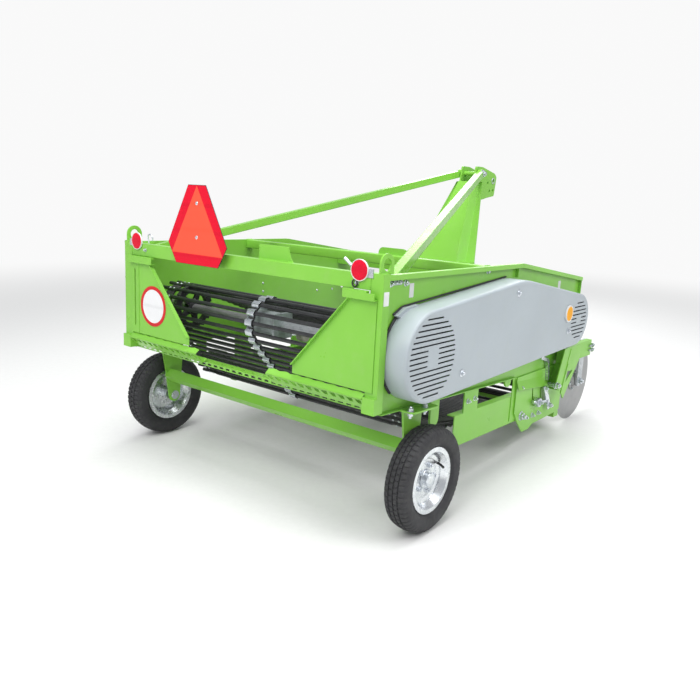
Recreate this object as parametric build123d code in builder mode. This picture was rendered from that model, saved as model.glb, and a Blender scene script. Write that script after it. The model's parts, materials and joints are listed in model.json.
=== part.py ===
"""Two-row rod-web potato harvester, carried on a three-point hitch, parked on its wheels and discs."""
import os
from math import asin, atan2, cos, degrees, hypot, pi, radians, sin, sqrt

from build123d import *

os.makedirs("parts", exist_ok=True)

# ---- Stance: (a, h) is measured along and square to the frame, from the rear face of the posts ----
tyre_radius = 227.5
tyre_width = 112.0
wheel_x = 869.0            # middle of each tyre from the centre line
drive_h = 769.0            # web's rear shaft and front drive shaft
axle_a = 289.0
axle_h = drive_h - 531.0
disc_radius = 250.0
disc_thick = 5.0
disc_x = 755.0
disc_a = 2131.0
disc_h = drive_h - 440.6
step_back = 15.0           # how far the steps stand behind the posts
step_h = 620.0
run_gap = 0.3              # seat between curved faces

axle_gap_a = disc_a - axle_a
axle_gap_h = disc_h - axle_h
tilt = atan2(axle_gap_h, axle_gap_a) - asin((disc_radius - tyre_radius) / hypot(axle_gap_a, axle_gap_h))
lean_c = cos(tilt)
lean_s = sin(tilt)
front_y = disc_a * lean_c + disc_h * lean_s + disc_radius
marker_back = 34.0         # the marker board stands behind the rear beam
marker_low_h = 1030.0
marker_sheet = 3.0
rear_y = marker_low_h * lean_s - (marker_back + marker_sheet) * lean_c
base_y = -(front_y + rear_y) / 2
base_z = tyre_radius + axle_a * lean_s - axle_h * lean_c

side = Plane(origin=(0, base_y, base_z), x_dir=(0, lean_c, -lean_s), z_dir=(1, 0, 0))


def at(a, h, x=0.0):
    """World point of a place on the tilted frame."""
    return (x, base_y + a * lean_c + h * lean_s, base_z - a * lean_s + h * lean_c)


def back_plane(a):
    """Plane square to the frame, facing the rear; its axes are x and h."""
    return Plane(origin=at(a, 0), x_dir=(1, 0, 0), z_dir=(0, -lean_c, lean_s))


def deck_plane(h):
    """Plane along the frame, facing up; its axes are x and a."""
    return Plane(origin=at(0, h), x_dir=(1, 0, 0), z_dir=(0, lean_s, lean_c))


def save(builder, label):
    builder.part.label = label
    export_step(builder.part, "parts/" + label + ".step")


def save_pair(builder, label):
    """Write the right-hand piece and its mirror image on the left."""
    save(builder, label + "_right")
    with BuildPart() as other:
        mirror(builder.part, about=Plane.YZ)
    save(other, label + "_left")


# ---- Side panels: sizes ----
sheet = 4.0
panel_x = 792.0            # outer face of the side sheet
flange_x = 813.0           # outer face of the flanges and posts
post_width = 60.0
post_depth = 40.0
post_top_h = 1095.5
panel_top_h = 1090.5
kink_a = 1164.0
nose_a = 1957.0
nose_h = 981.0
nose_low_h = 880.0
cheek_a = 1850.0           # front edge of the lower cheek
cheek_rear_a = 1215.0
cheek_low_h = 262.0
lip_depth = 21.0

# Rear web shaft and front drive shaft
rear_drive_a = 228.4
front_drive_a = 1715.0
shaft_radius = 20.0
cross_shaft_radius = 17.5
belly_rear_h = drive_h - 224.0     # lower edge of the panels under the drive
belly_front_h = drive_h - 269.0

panel_outline = [
    (post_depth, panel_top_h), (kink_a, panel_top_h), (nose_a, nose_h), (nose_a, nose_low_h),
    (cheek_a, nose_low_h - 130), (cheek_a, cheek_low_h), (cheek_rear_a, cheek_low_h),
    (cheek_rear_a, belly_front_h), (post_depth, belly_rear_h),
]
stiffener_a = kink_a - 45.0

# ---- Rear posts with their lifting lugs and feet ----
post_wall = 4.0
post_foot_h = 556.0
foot_back = 16.0
foot_h = 620.0
lug_thick = 8.0
lug_radius = 42.0
lug_h = 1128.0
lug_hole = 24.0
post_in_x = flange_x - post_width

with BuildPart() as post:
    with BuildSketch(deck_plane(post_foot_h)):
        with Locations(((post_in_x + flange_x) / 2, post_depth / 2)):
            Rectangle(post_width, post_depth)
            Rectangle(post_width - 2 * post_wall, post_depth - 2 * post_wall, mode=Mode.SUBTRACT)
    extrude(amount=post_top_h - post_foot_h - sheet)
    with BuildSketch(deck_plane(post_top_h - sheet)):
        with Locations(((post_in_x + flange_x) / 2, post_depth / 2)):
            Rectangle(post_width, post_depth)
    extrude(amount=sheet)
    with BuildSketch(side.offset(panel_x - sheet)):
        with BuildLine():
            Line((0, post_top_h), (2 * lug_radius, post_top_h))
            Line((2 * lug_radius, post_top_h), (2 * lug_radius, lug_h))
            ThreePointArc((2 * lug_radius, lug_h), (lug_radius, lug_h + lug_radius), (0, lug_h))
            Line((0, lug_h), (0, post_top_h))
        make_face()
        with Locations((lug_radius, lug_h)):
            Circle(lug_hole, mode=Mode.SUBTRACT)
    extrude(amount=lug_thick)
    with BuildSketch(side.offset(post_in_x)):
        with Locations((-foot_back / 2, (post_foot_h + foot_h) / 2)):
            Rectangle(foot_back, foot_h - post_foot_h)
    extrude(amount=post_width)
save_pair(post, "rear_post")

# ---- Rear beam with its small bare plate ----
beam_depth = 40.0
beam_low_h = 1030.0
beam_top_h = 1090.0
beam_wall = 4.0
plate_x = 208.0
plate_rise = 62.0
plate_half = 88.0
plate_flare = 24.0
plate_thick = 5.0
marker_x = -208.0
marker_bar = 6.0
marker_foot = 36.0
marker_top_h = 1330.0

with BuildPart() as rear_beam:
    with BuildSketch(side.offset(-post_in_x)):
        with Locations((beam_depth / 2, (beam_low_h + beam_top_h) / 2)):
            Rectangle(beam_depth, beam_top_h - beam_low_h)
        with Locations((beam_depth / 2 + beam_wall, (beam_low_h + beam_top_h) / 2)):
            Rectangle(beam_depth, beam_top_h - beam_low_h - 2 * beam_wall, mode=Mode.SUBTRACT)
    extrude(amount=2 * post_in_x)
    with BuildSketch(back_plane(beam_depth)):
        with BuildLine():
            Line((plate_x - plate_half, beam_top_h), (plate_x + plate_half + plate_flare, beam_top_h))
            ThreePointArc((plate_x + plate_half + plate_flare, beam_top_h),
                          (plate_x + plate_half + plate_flare * 0.3, beam_top_h + plate_rise * 0.4),
                          (plate_x + plate_half, beam_top_h + plate_rise))
            Polyline((plate_x + plate_half, beam_top_h + plate_rise),
                     (plate_x - plate_half, beam_top_h + plate_rise), (plate_x - plate_half, beam_top_h))
        make_face()
    extrude(amount=plate_thick)
    # Folded bar that carries the marker board
    with BuildSketch(side.offset(marker_x - marker_foot / 2)):
        with BuildLine():
            Polyline((0, beam_low_h + 8), (-marker_bar, beam_low_h + 8), (-marker_bar, beam_top_h),
                     (-marker_back, beam_top_h + marker_back), (-marker_back, marker_top_h),
                     (marker_bar - marker_back, marker_top_h),
                     (marker_bar - marker_back, beam_top_h + marker_back + marker_bar / 2),
                     (0, beam_top_h + marker_bar / 2), close=True)
        make_face()
    extrude(amount=marker_foot)
save(rear_beam, "rear_beam")

# ---- Middle and front cross beams between the panels ----
in_x = panel_x - sheet
mid_beam_a = 830.0
mid_beam_h = 1066.5
mid_beam_size = 48.0
front_beam_a = 1700.0
front_beam_size = 90.0
front_beam_top = 1008.0
hood_x = 255.0
hood_half = 90.0
hood_rise = 36.0
hood_round = 25.0
cross_beams = (
    # label, a, middle h, size, wall, rise of the plate on top
    ("middle_beam", mid_beam_a, mid_beam_h, mid_beam_size, 4.0, hood_rise),
    ("front_beam", front_beam_a, front_beam_top - front_beam_size / 2, front_beam_size, 6.0, 0.0),
)
for label, beam_a, beam_h, size, wall, rise in cross_beams:
    with BuildPart() as beam:
        with BuildSketch(side.offset(-in_x)):
            with Locations((beam_a, beam_h)):
                Rectangle(size, size)
                Rectangle(size - 2 * wall, size - 2 * wall, mode=Mode.SUBTRACT)
        extrude(amount=2 * in_x)
        if rise > 0:
            with BuildSketch(back_plane(beam_a)) as top_plate:
                with Locations((hood_x, beam_h + size / 2 + rise / 2)):
                    Rectangle(2 * hood_half, rise)
                fillet(top_plate.vertices().sort_by(Axis.Y)[:2], hood_round)
            extrude(amount=-wall)
    save(beam, label)

# ---- Deflector plates below the rear beam; the left one is set further in ----
defl_top_h = 998.0
defl_low_h = 639.0
defl_knee_h = 679.0
defl_out_x = 790.0
defl_left_x = 690.0
defl_top_x = 662.0
defl_knee_x = 373.0
defl_sheet = 4.0
defl_lip = 20.0
defl_rise = 24.0           # folded rim above the plate's top edge
defl_rim = 25.0            # how far the rim runs past the slanting edge
defl_shift = 72.0
slot_bar_thick = 6.0
slant = Vector(defl_top_x - defl_knee_x, defl_top_h - defl_knee_h).normalized()
deflectors = (
    # label, side, outer edge, shift of the slanting edge towards the middle
    ("deflector_right", 1, defl_out_x, 0.0),
    ("deflector_left", -1, defl_left_x, defl_shift),
)
for label, hand, edge_x, shift in deflectors:
    out_x = hand * edge_x
    top_x = hand * (defl_top_x - shift)
    knee_x = hand * (defl_knee_x - shift)
    with BuildPart() as deflector:
        with BuildSketch(back_plane(0)):
            with BuildLine():
                Polyline((out_x, defl_top_h), (top_x, defl_top_h), (knee_x, defl_knee_h),
                         (knee_x, defl_low_h), (out_x, defl_low_h), close=True)
            make_face()
        extrude(amount=defl_sheet)
        # Lip along the slanting inner edge
        with BuildSketch(back_plane(0)):
            with BuildLine():
                Polyline((top_x, defl_top_h), (knee_x, defl_knee_h),
                         (knee_x + hand * slant.Y * defl_sheet, defl_knee_h - slant.X * defl_sheet),
                         (top_x + hand * slant.Y * defl_sheet, defl_top_h - slant.X * defl_sheet), close=True)
            make_face()
        extrude(amount=defl_lip)
        # Rim along the top, folded out and up under the rear beam
        with BuildSketch(side.offset(top_x - hand * defl_rim)):
            with BuildLine():
                Polyline((0, defl_top_h - defl_sheet), (0, defl_top_h), (-defl_lip, defl_top_h),
                         (-defl_lip, defl_top_h + defl_rise),
                         (-defl_lip - defl_sheet, defl_top_h + defl_rise),
                         (-defl_lip - defl_sheet, defl_top_h - defl_sheet), close=True)
            make_face()
        extrude(amount=hand * (max(edge_x, post_in_x) - defl_top_x + shift + defl_rim))
        if shift > 0:
            # Slotted bar that holds the plate off its post
            with BuildSketch(back_plane(0)):
                with Locations((hand * (post_in_x + edge_x) / 2, (defl_top_h + defl_low_h) / 2)):
                    Rectangle(post_in_x - edge_x, defl_top_h - defl_low_h)
                    SlotOverall((defl_top_h - defl_low_h) * 0.8, 11, rotation=90, mode=Mode.SUBTRACT)
            extrude(amount=slot_bar_thick)
    save(deflector, label)

# ---- Steps of pressed plank under the deflectors ----
step_in_x = 232.0
step_out_x = post_in_x
step_deep = 60.0
step_drop = 56.0
step_sheet = 3.0
plank_pitch = 68.0
hole_sides = 12
plank_a = step_deep - step_back
plank_deep = 50.0
plank_h = 566.0
plank_drop = 22.0
plank_slope = 0.35
hole_share = 0.2
tooth_pitch = 43.0         # openings of the sloping faces
tooth_width = 28.0
tooth_share = 0.5
planks = (
    # label, inner x, outer x, rear edge a, top h, depth, drop
    ("step", step_in_x, step_out_x, -step_back, step_h, step_deep, step_drop),
    ("lower_plank", -in_x, in_x, plank_a, plank_h, plank_deep, plank_drop),
)
for label, from_x, to_x, back_a, top_h, deep, drop in planks:
    slope = drop * plank_slope
    holes = round((to_x - from_x) / plank_pitch)
    teeth = round((to_x - from_x) / tooth_pitch)
    with BuildPart() as plank:
        with BuildSketch(side.offset(from_x)):
            with BuildLine():
                Polyline((back_a, top_h), (back_a + deep, top_h), (back_a + deep, top_h - drop),
                         (back_a + deep - step_sheet, top_h - drop),
                         (back_a + deep - step_sheet, top_h - step_sheet),
                         (back_a + 1.4 * step_sheet, top_h - step_sheet),
                         (back_a + slope + step_sheet, top_h - drop), (back_a + slope, top_h - drop),
                         close=True)
            make_face()
        extrude(amount=to_x - from_x)
        with BuildSketch(deck_plane(top_h)):
            with Locations(((from_x + to_x) / 2, back_a + deep / 2)):
                with GridLocations((to_x - from_x) / holes, deep, holes, 1):
                    RegularPolygon(deep * hole_share, hole_sides)
        extrude(amount=-2 * step_sheet, mode=Mode.SUBTRACT)
        with BuildSketch(back_plane(back_a)):
            with Locations(((from_x + to_x) / 2, top_h - drop / 2)):
                with GridLocations((to_x - from_x) / teeth, drop, teeth, 1):
                    Trapezoid(tooth_width, drop * tooth_share, 75)
        extrude(amount=-slope - 2 * step_sheet, mode=Mode.SUBTRACT)
    if from_x > 0:
        save_pair(plank, label)
    else:
        save(plank, label)

# ---- Rod web: one loop over three belts ----
rod_pitch = 47.3
tooth_count = 15           # pockets of the toothed wheels, one for each rod
web_rear_r = tooth_count * rod_pitch / (2 * pi)
web_low_a = 470.0
web_low_h = 436.0
web_low_r = 70.0
web_front_a = 1706.0
web_front_h = 262.0
web_front_r = 72.0
rod_radius = 9.5
rod_half = 712.0
belt_width = 60.0
belt_thick = 10.0
belt_x = 640.0
belt_inset = rod_radius + 1.0     # inner face of a belt inside the rods' pitch line

# wheels of the loop, in the order that the web runs round them
web_wheels = (
    # a, h, radius of the pitch line
    (rear_drive_a, drive_h, web_rear_r),
    (web_low_a, web_low_h, web_low_r),
    (web_front_a, web_front_h, web_front_r),
)


def loop_path(grow):
    """Straight runs and arcs of the loop, as (start, end, centre, radius) in order."""
    runs = []
    count = len(web_wheels)
    for i in range(count):
        a1, h1, r1 = web_wheels[i]
        a2, h2, r2 = web_wheels[(i + 1) % count]
        r1, r2 = r1 + grow, r2 + grow
        away = atan2(h2 - h1, a2 - a1)
        turn = asin((r1 - r2) / hypot(a2 - a1, h2 - h1))
        square = away - pi / 2 + turn
        runs.append(((a1 + r1 * cos(square), h1 + r1 * sin(square)),
                     (a2 + r2 * cos(square), h2 + r2 * sin(square)), (a2, h2), r2))
    return runs


def loop_face(grow):
    """Filled outline of the loop, grown outward from the pitch line."""
    runs = loop_path(grow)
    with BuildSketch() as outline:
        with BuildLine():
            for i, (start, end, centre, radius) in enumerate(runs):
                following = runs[(i + 1) % len(runs)][0]
                Line(start, end)
                go_in = atan2(end[1] - centre[1], end[0] - centre[0])
                go_out = atan2(following[1] - centre[1], following[0] - centre[0])
                half = ((go_out - go_in) % (2 * pi)) / 2
                ThreePointArc(end, (centre[0] + radius * cos(go_in + half),
                                    centre[1] + radius * sin(go_in + half)), following)
        make_face()
    return outline.sketch


def loop_points(pitch):
    """Evenly spaced points on the pitch line, with each one's direction in degrees."""
    runs = loop_path(0)
    pieces = []
    for i, (start, end, centre, radius) in enumerate(runs):
        following = runs[(i + 1) % len(runs)][0]
        pieces.append(("line", start, end, hypot(end[0] - start[0], end[1] - start[1])))
        go_in = atan2(end[1] - centre[1], end[0] - centre[0])
        turn = (atan2(following[1] - centre[1], following[0] - centre[0]) - go_in) % (2 * pi)
        pieces.append(("arc", centre, (radius, go_in), radius * turn))
    total = sum(piece[3] for piece in pieces)
    count = round(total / pitch)
    points = []
    for k in range(count):
        along = k * total / count
        for kind, first, second, length in pieces:
            if along <= length:
                break
            along -= length
        if kind == "line":
            share = along / length
            heading = atan2(second[1] - first[1], second[0] - first[0])
            points.append((first[0] + share * (second[0] - first[0]),
                           first[1] + share * (second[1] - first[1]), degrees(heading)))
        else:
            angle = second[1] + along / second[0]
            points.append((first[0] + second[0] * cos(angle), first[1] + second[0] * sin(angle),
                           degrees(angle) + 90))
    return points


rods = loop_points(rod_pitch)
belt_outer = loop_face(belt_thick - belt_inset)
belt_inner = loop_face(-belt_inset)

with BuildPart() as web:
    for mid_x in (-belt_x, 0.0, belt_x):
        with BuildSketch(side.offset(mid_x - belt_width / 2)):
            add(belt_outer)
            add(belt_inner, mode=Mode.SUBTRACT)
        extrude(amount=belt_width)
    with BuildSketch(side.offset(-rod_half)):
        for rod_a, rod_h, heading in rods:
            with Locations(Location((rod_a, rod_h, 0), (0, 0, heading))):
                RegularPolygon(rod_radius, 8, major_radius=False, rotation=22.5)
    extrude(amount=2 * rod_half)
save(web, "rod_web")

# Joining clips on the middle belt
clip_width = 34.0
clip_long = 26.0
clip_thick = 4.0
clip_x = -14.0
with BuildPart() as clips:
    with BuildSketch(side.offset(clip_x - clip_width / 2)):
        for rod_a, rod_h, heading in rods:
            with Locations(Location((rod_a, rod_h, 0), (0, 0, heading))):
                with Locations((0, -rod_radius - clip_thick / 2)):
                    Rectangle(clip_long, clip_thick)
    extrude(amount=clip_width)
save(clips, "web_clips")

# ---- Rear web shaft with its toothed wheels ----
tooth_wheel_x = 560.0
tooth_wheel_thick = 24.0
pulley_x = 850.0
guard_x = 908.0
guard_sheet = 3.0
rear_pulley_r = 165.0
front_pulley_r = 90.0
pulley_thick = 40.0
first_rod = min(rods, key=lambda rod: abs(atan2(rod[1] - drive_h, rod[0] - rear_drive_a) - pi * 0.99))
tooth_start = degrees(atan2(first_rod[1] - drive_h, first_rod[0] - rear_drive_a))

with BuildPart() as rear_shaft:
    with BuildSketch(side.offset(-in_x)):
        with Locations((rear_drive_a, drive_h)):
            Circle(shaft_radius)
    extrude(amount=in_x + pulley_x + pulley_thick / 2)
    with BuildSketch(side.offset(pulley_x - pulley_thick / 2)):
        with Locations((rear_drive_a, drive_h)):
            Circle(rear_pulley_r)
    extrude(amount=pulley_thick)
    for wheel_mid in (-tooth_wheel_x, tooth_wheel_x):
        with BuildSketch(side.offset(wheel_mid - tooth_wheel_thick / 2)):
            with Locations((rear_drive_a, drive_h)):
                Circle(web_rear_r - 1)
                with PolarLocations(web_rear_r, tooth_count, start_angle=tooth_start):
                    Circle(rod_radius + 2, mode=Mode.SUBTRACT)
        extrude(amount=tooth_wheel_thick)
save(rear_shaft, "rear_web_shaft")

# Cast housing round the middle of the shaft, and the tube to its right
housing_half = 90.0
housing_radius = 70.0
tube_radius = 24.0
tube_wall = 3.5
with BuildPart() as housing:
    with BuildSketch(side.offset(-housing_half)):
        with Locations((rear_drive_a, drive_h)):
            Circle(housing_radius - 12)
            Circle(shaft_radius + run_gap, mode=Mode.SUBTRACT)
    extrude(amount=2 * housing_half)
    for flange_at in (-housing_half, housing_half - 14):
        with BuildSketch(side.offset(flange_at)):
            with Locations((rear_drive_a, drive_h)):
                Rectangle(2 * housing_radius - 20, 2 * housing_radius - 20)
                Circle(shaft_radius + run_gap, mode=Mode.SUBTRACT)
        extrude(amount=14)
save(housing, "centre_housing")

with BuildPart() as shaft_tube:
    with BuildSketch(side.offset(housing_half)):
        with Locations((rear_drive_a, drive_h)):
            Circle(tube_radius)
            Circle(tube_radius - tube_wall, mode=Mode.SUBTRACT)
    extrude(amount=tooth_wheel_x - tooth_wheel_thick / 2 - housing_half - 10)
save(shaft_tube, "shaft_tube")

# ---- Side panels with the shaft's bearings and the tabs of the low rollers ----
bearing_radius = 55.0
bearing_thick = 12.0
roller_shaft_r = 15.0
tab_sheet = 10.0
tab_half = 34.0
tab_lap = 50.0
support_r = 35.0
support_axle_r = 10.0
low_roller = (web_low_a, web_low_h)
top_start, top_end = loop_path(-belt_inset - run_gap)[2][:2]
top_slope = (top_end[1] - top_start[1]) / (top_end[0] - top_start[0])
support_places = [
    # a, h, end of its axle
    (a, top_start[1] + (a - top_start[0]) * top_slope - support_r * hypot(1, top_slope), end_x)
    for a, end_x in ((790.0, in_x), (1166.0, in_x - tab_sheet))
]


def belly_h(a):
    """Height of the panels' lower edge."""
    return belly_rear_h + (belly_front_h - belly_rear_h) * (a - post_depth) / (cheek_rear_a - post_depth)


with BuildPart() as panel:
    with BuildSketch(side.offset(panel_x - sheet)):
        with BuildLine():
            Polyline(*panel_outline, close=True)
        make_face()
        for hole_a, hole_r in ((rear_drive_a, shaft_radius + 4), (front_drive_a, cross_shaft_radius + 4)):
            with Locations((hole_a, drive_h)):
                Circle(hole_r, mode=Mode.SUBTRACT)
    extrude(amount=sheet)
    # Folded top edge: an outward flange with a turned-down lip
    with BuildSketch(side.offset(panel_x - sheet)):
        with BuildLine():
            Polyline((post_depth, panel_top_h), (kink_a, panel_top_h), (nose_a, nose_h),
                     (nose_a, nose_h - sheet), (kink_a, panel_top_h - sheet),
                     (post_depth, panel_top_h - sheet), close=True)
        make_face()
    extrude(amount=flange_x - panel_x + sheet)
    with BuildSketch(side.offset(flange_x - sheet)):
        with BuildLine():
            Polyline((post_depth, panel_top_h), (kink_a, panel_top_h), (nose_a, nose_h),
                     (nose_a, nose_h - lip_depth), (kink_a, panel_top_h - lip_depth),
                     (post_depth, panel_top_h - lip_depth), close=True)
        make_face()
    extrude(amount=sheet)
    # Front end flange, belly flange and the upright stiffener
    with BuildSketch(side.offset(panel_x - sheet)):
        with BuildLine():
            Polyline((nose_a - sheet, nose_low_h), (nose_a, nose_low_h), (nose_a, nose_h - sheet / 2),
                     (nose_a - sheet, nose_h - sheet / 2), close=True)
        make_face()
        with BuildLine():
            Polyline((post_depth, belly_rear_h), (cheek_rear_a, belly_front_h),
                     (cheek_rear_a, belly_front_h + sheet), (post_depth, belly_rear_h + sheet), close=True)
        make_face()
        with Locations((stiffener_a, panel_top_h - 34)):
            Rectangle(sheet, 66)
    extrude(amount=flange_x - panel_x)
    # Flange bearing of the web's rear shaft, inside the sheet
    with BuildSketch(side.offset(in_x - bearing_thick)):
        with Locations((rear_drive_a, drive_h)):
            Circle(bearing_radius)
            Circle(shaft_radius + run_gap, mode=Mode.SUBTRACT)
    extrude(amount=bearing_thick)
    # Tabs that carry the low roller and the foremost support roller
    for tab_a, tab_h in (low_roller, support_places[1][:2]):
        with BuildSketch(side.offset(in_x - tab_sheet)):
            with BuildLine():
                Line((tab_a - tab_half, belly_h(tab_a) + tab_lap), (tab_a - tab_half, tab_h))
                ThreePointArc((tab_a - tab_half, tab_h), (tab_a, tab_h - tab_half), (tab_a + tab_half, tab_h))
                Polyline((tab_a + tab_half, tab_h), (tab_a + tab_half, belly_h(tab_a) + tab_lap),
                         (tab_a - tab_half, belly_h(tab_a) + tab_lap))
            make_face()
        extrude(amount=tab_sheet)
save_pair(panel, "side_panel")

# ---- Lower rails beside the web, hung from the panels ----
rail_x = 748.0             # inner edge of the rails' flanges
rail_sheet = 5.0
rail_rear_a = 647.0
rail_front_a = 1765.0
rail_rear_h = 410.0
rail_front_h = 385.0
rail_low_rear_h = 257.0
rail_low_front_h = 240.0
rail_cut_a = 55.0          # slanting cut of the rear end
rail_cut_h = 78.0
hanger_a = 790.0
hanger_width = 130.0
hanger_sheet = 6.0
hanger_lap = 55.0


def rail_top(a):
    share = (a - rail_rear_a) / (rail_front_a - rail_rear_a)
    return rail_rear_h + (rail_front_h - rail_rear_h) * share


def rail_low(a):
    share = (a - rail_rear_a) / (rail_front_a - rail_rear_a)
    return rail_low_rear_h + (rail_low_front_h - rail_low_rear_h) * share


rail_bottom_a = rail_rear_a + rail_cut_a
with BuildPart() as rail:
    with BuildSketch(side.offset(in_x - rail_sheet)):
        with BuildLine():
            Polyline((rail_rear_a, rail_rear_h), (rail_front_a, rail_front_h),
                     (rail_front_a, rail_low_front_h), (rail_bottom_a, rail_low(rail_bottom_a)),
                     (rail_rear_a, rail_rear_h - rail_cut_h), close=True)
        make_face()
    extrude(amount=rail_sheet)
    with BuildSketch(side.offset(rail_x)):
        for edge, lift in ((rail_top, -rail_sheet), (rail_low, rail_sheet)):
            start_a = rail_rear_a if lift < 0 else rail_bottom_a
            with BuildLine():
                Polyline((start_a, edge(start_a)), (rail_front_a, edge(rail_front_a)),
                         (rail_front_a, edge(rail_front_a) + lift), (start_a, edge(start_a) + lift),
                         close=True)
            make_face()
    extrude(amount=in_x - rail_x)
    # Hanger plate from the rail up to the inside of the panel
    with BuildSketch(side.offset(in_x - hanger_sheet)):
        with BuildLine():
            Polyline((hanger_a - hanger_width / 2, rail_top(hanger_a) - 20),
                     (hanger_a + hanger_width / 2, rail_top(hanger_a) - 20),
                     (hanger_a + hanger_width / 2, belly_h(hanger_a) + hanger_lap),
                     (hanger_a - hanger_width / 2, belly_h(hanger_a) + hanger_lap), close=True)
        make_face()
    extrude(amount=hanger_sheet)
save_pair(rail, "lower_rail")

# ---- Rollers that turn the web below and at the front, and the nylon support rollers ----
turn_rollers = (
    # label, a, h, radius of the roller, end of the shaft
    ("lower_roller", web_low_a, web_low_h, web_low_r - belt_inset - run_gap, in_x - tab_sheet),
    ("front_roller", web_front_a, web_front_h, web_front_r - belt_inset - run_gap, in_x - rail_sheet),
)
for label, roller_a, roller_h, roller_r, reach in turn_rollers:
    with BuildPart() as roller:
        with BuildSketch(side.offset(-reach)):
            with Locations((roller_a, roller_h)):
                Circle(roller_shaft_r)
        extrude(amount=2 * reach)
        for mid_x in (-belt_x, 0.0, belt_x):
            with BuildSketch(side.offset(mid_x - belt_width * 0.7)):
                with Locations((roller_a, roller_h)):
                    Circle(roller_r)
            extrude(amount=belt_width * 1.4)
    save(roller, label)

with BuildPart() as supports:
    for roller_a, roller_h, end_x in support_places:
        for hand in (-1, 1):
            with BuildSketch(side.offset(hand * (belt_x - belt_width / 2))):
                with Locations((roller_a, roller_h)):
                    Circle(support_r)
            extrude(amount=hand * belt_width)
            with BuildSketch(side.offset(hand * belt_x)):
                with Locations((roller_a, roller_h)):
                    Circle(support_axle_r)
            extrude(amount=hand * (end_x - belt_x))
save(supports, "support_rollers")

# ---- Cheek plates, hoods over them, share and its carrier ----
cheek_sheet = 8.0
hood_sheet = 4.0
hood_out_x = 816.0
hood_drop = 66.0
arc_slots = (
    # three points of the slot's middle line
    ((1452.0, 402.0), (1461.0, 352.0), (1487.0, 306.0)),
    ((1562.0, 386.0), (1560.0, 350.0), (1573.0, 314.0)),
)
arc_slot_width = 13.0
cheek_plate = [
    (1250.0, 494.0), (1250.0, 300.0), (1296.0, 243.0), (1368.0, 172.0), (1440.0, 172.0), (1493.0, 192.0),
    (1790.0, 196.0), (cheek_a, 205.0), (cheek_a, 494.0),
]
hood_line = [(1243.0, 494.0), (1578.0, 461.0), (1636.0, 430.0)]
with BuildPart() as cheek:
    with BuildSketch(side.offset(panel_x)):
        with BuildLine():
            Polyline(*cheek_plate, close=True)
        make_face()
        for first, middle, last in arc_slots:
            with BuildLine() as slot_line:
                ThreePointArc(first, middle, last)
            SlotArc(slot_line.edges()[0], arc_slot_width, mode=Mode.SUBTRACT)
    extrude(amount=cheek_sheet)
    # Sloping hood that keeps the haulm off the adjusters
    for out_x, drop in ((panel_x, 0.0), (hood_out_x, hood_drop)):
        with BuildSketch(side.offset(out_x)):
            with BuildLine():
                Polyline(*[(a, h - drop) for a, h in hood_line],
                         *[(a, h - drop + hood_sheet) for a, h in reversed(hood_line)], close=True)
            make_face()
    loft(ruled=True)
save_pair(cheek, "cheek_plate")

share_half = 735.0
share_a = 1800.0
share_h = 236.0
share_slope = 30.0
share_thick = 10.0
share_long = 205.0
blade_count = 6
blade_notch = 70.0
carrier_from = 12.0
carrier_to = 80.0
carrier_drop = 28.0
slope_c = cos(radians(share_slope))
slope_s = sin(radians(share_slope))
share_plane = Plane(origin=at(share_a, share_h), x_dir=(1, 0, 0),
                    z_dir=(0, lean_s * slope_c + lean_c * slope_s, lean_c * slope_c - lean_s * slope_s))
blade_width = 2 * share_half / blade_count
edge_points = []
for i in range(blade_count):
    mid = -share_half + (i + 0.5) * blade_width
    edge_points += [(mid - blade_width / 2, share_long - blade_notch), (mid, share_long)]
edge_points.append((share_half, share_long - blade_notch))
with BuildPart() as share_blades:
    with BuildSketch(share_plane):
        with BuildLine():
            Polyline((-share_half, 0), *edge_points, (share_half, 0), close=True)
        make_face()
    extrude(amount=-share_thick)
save(share_blades, "share")


def under_share(along):
    """Point under the share blades, at a distance from their rear edge."""
    return (share_a + along * slope_c - share_thick * slope_s,
            share_h - along * slope_s - share_thick * slope_c)


with BuildPart() as carrier:
    with BuildSketch(side.offset(-panel_x)):
        with BuildLine():
            Polyline(under_share(carrier_from), under_share(carrier_to),
                     (under_share(carrier_to)[0], under_share(carrier_to)[1] - carrier_drop),
                     (under_share(carrier_from)[0], under_share(carrier_to)[1] - carrier_drop), close=True)
        make_face()
    extrude(amount=2 * panel_x)
save(carrier, "share_carrier")

# ---- Coulter discs on their arms ----
arm_x = panel_x + cheek_sheet
arm_width = 67.0
arm_wall = 6.0
arm_low = (1670.0, 362.0)
arm_high = (1766.0, 600.0)
flange_deep = 80.0         # outer flange of the arm, behind its web
gusset = [(1686.0, 348.0), (1723.0, 307.0), (1905.0, 507.0), (1905.0, 540.0), (1760.0, 540.0)]
gusset_hole = [(1746.0, 462.0), (1824.0, 458.0), (1735.0, 400.0)]
head_front_a = 1905.0
head_low_h = 507.0
head_top_h = 602.0
head_lap = 40.0
bar_width = 35.0
bar_low_h = 495.0
bar_top_h = 590.0
stem_width = 72.0
stem_thick = 12.0
pin_radius = 12.5
pin_play = 0.05
hub_gap = 5.0
hub_r = 45.0

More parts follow.
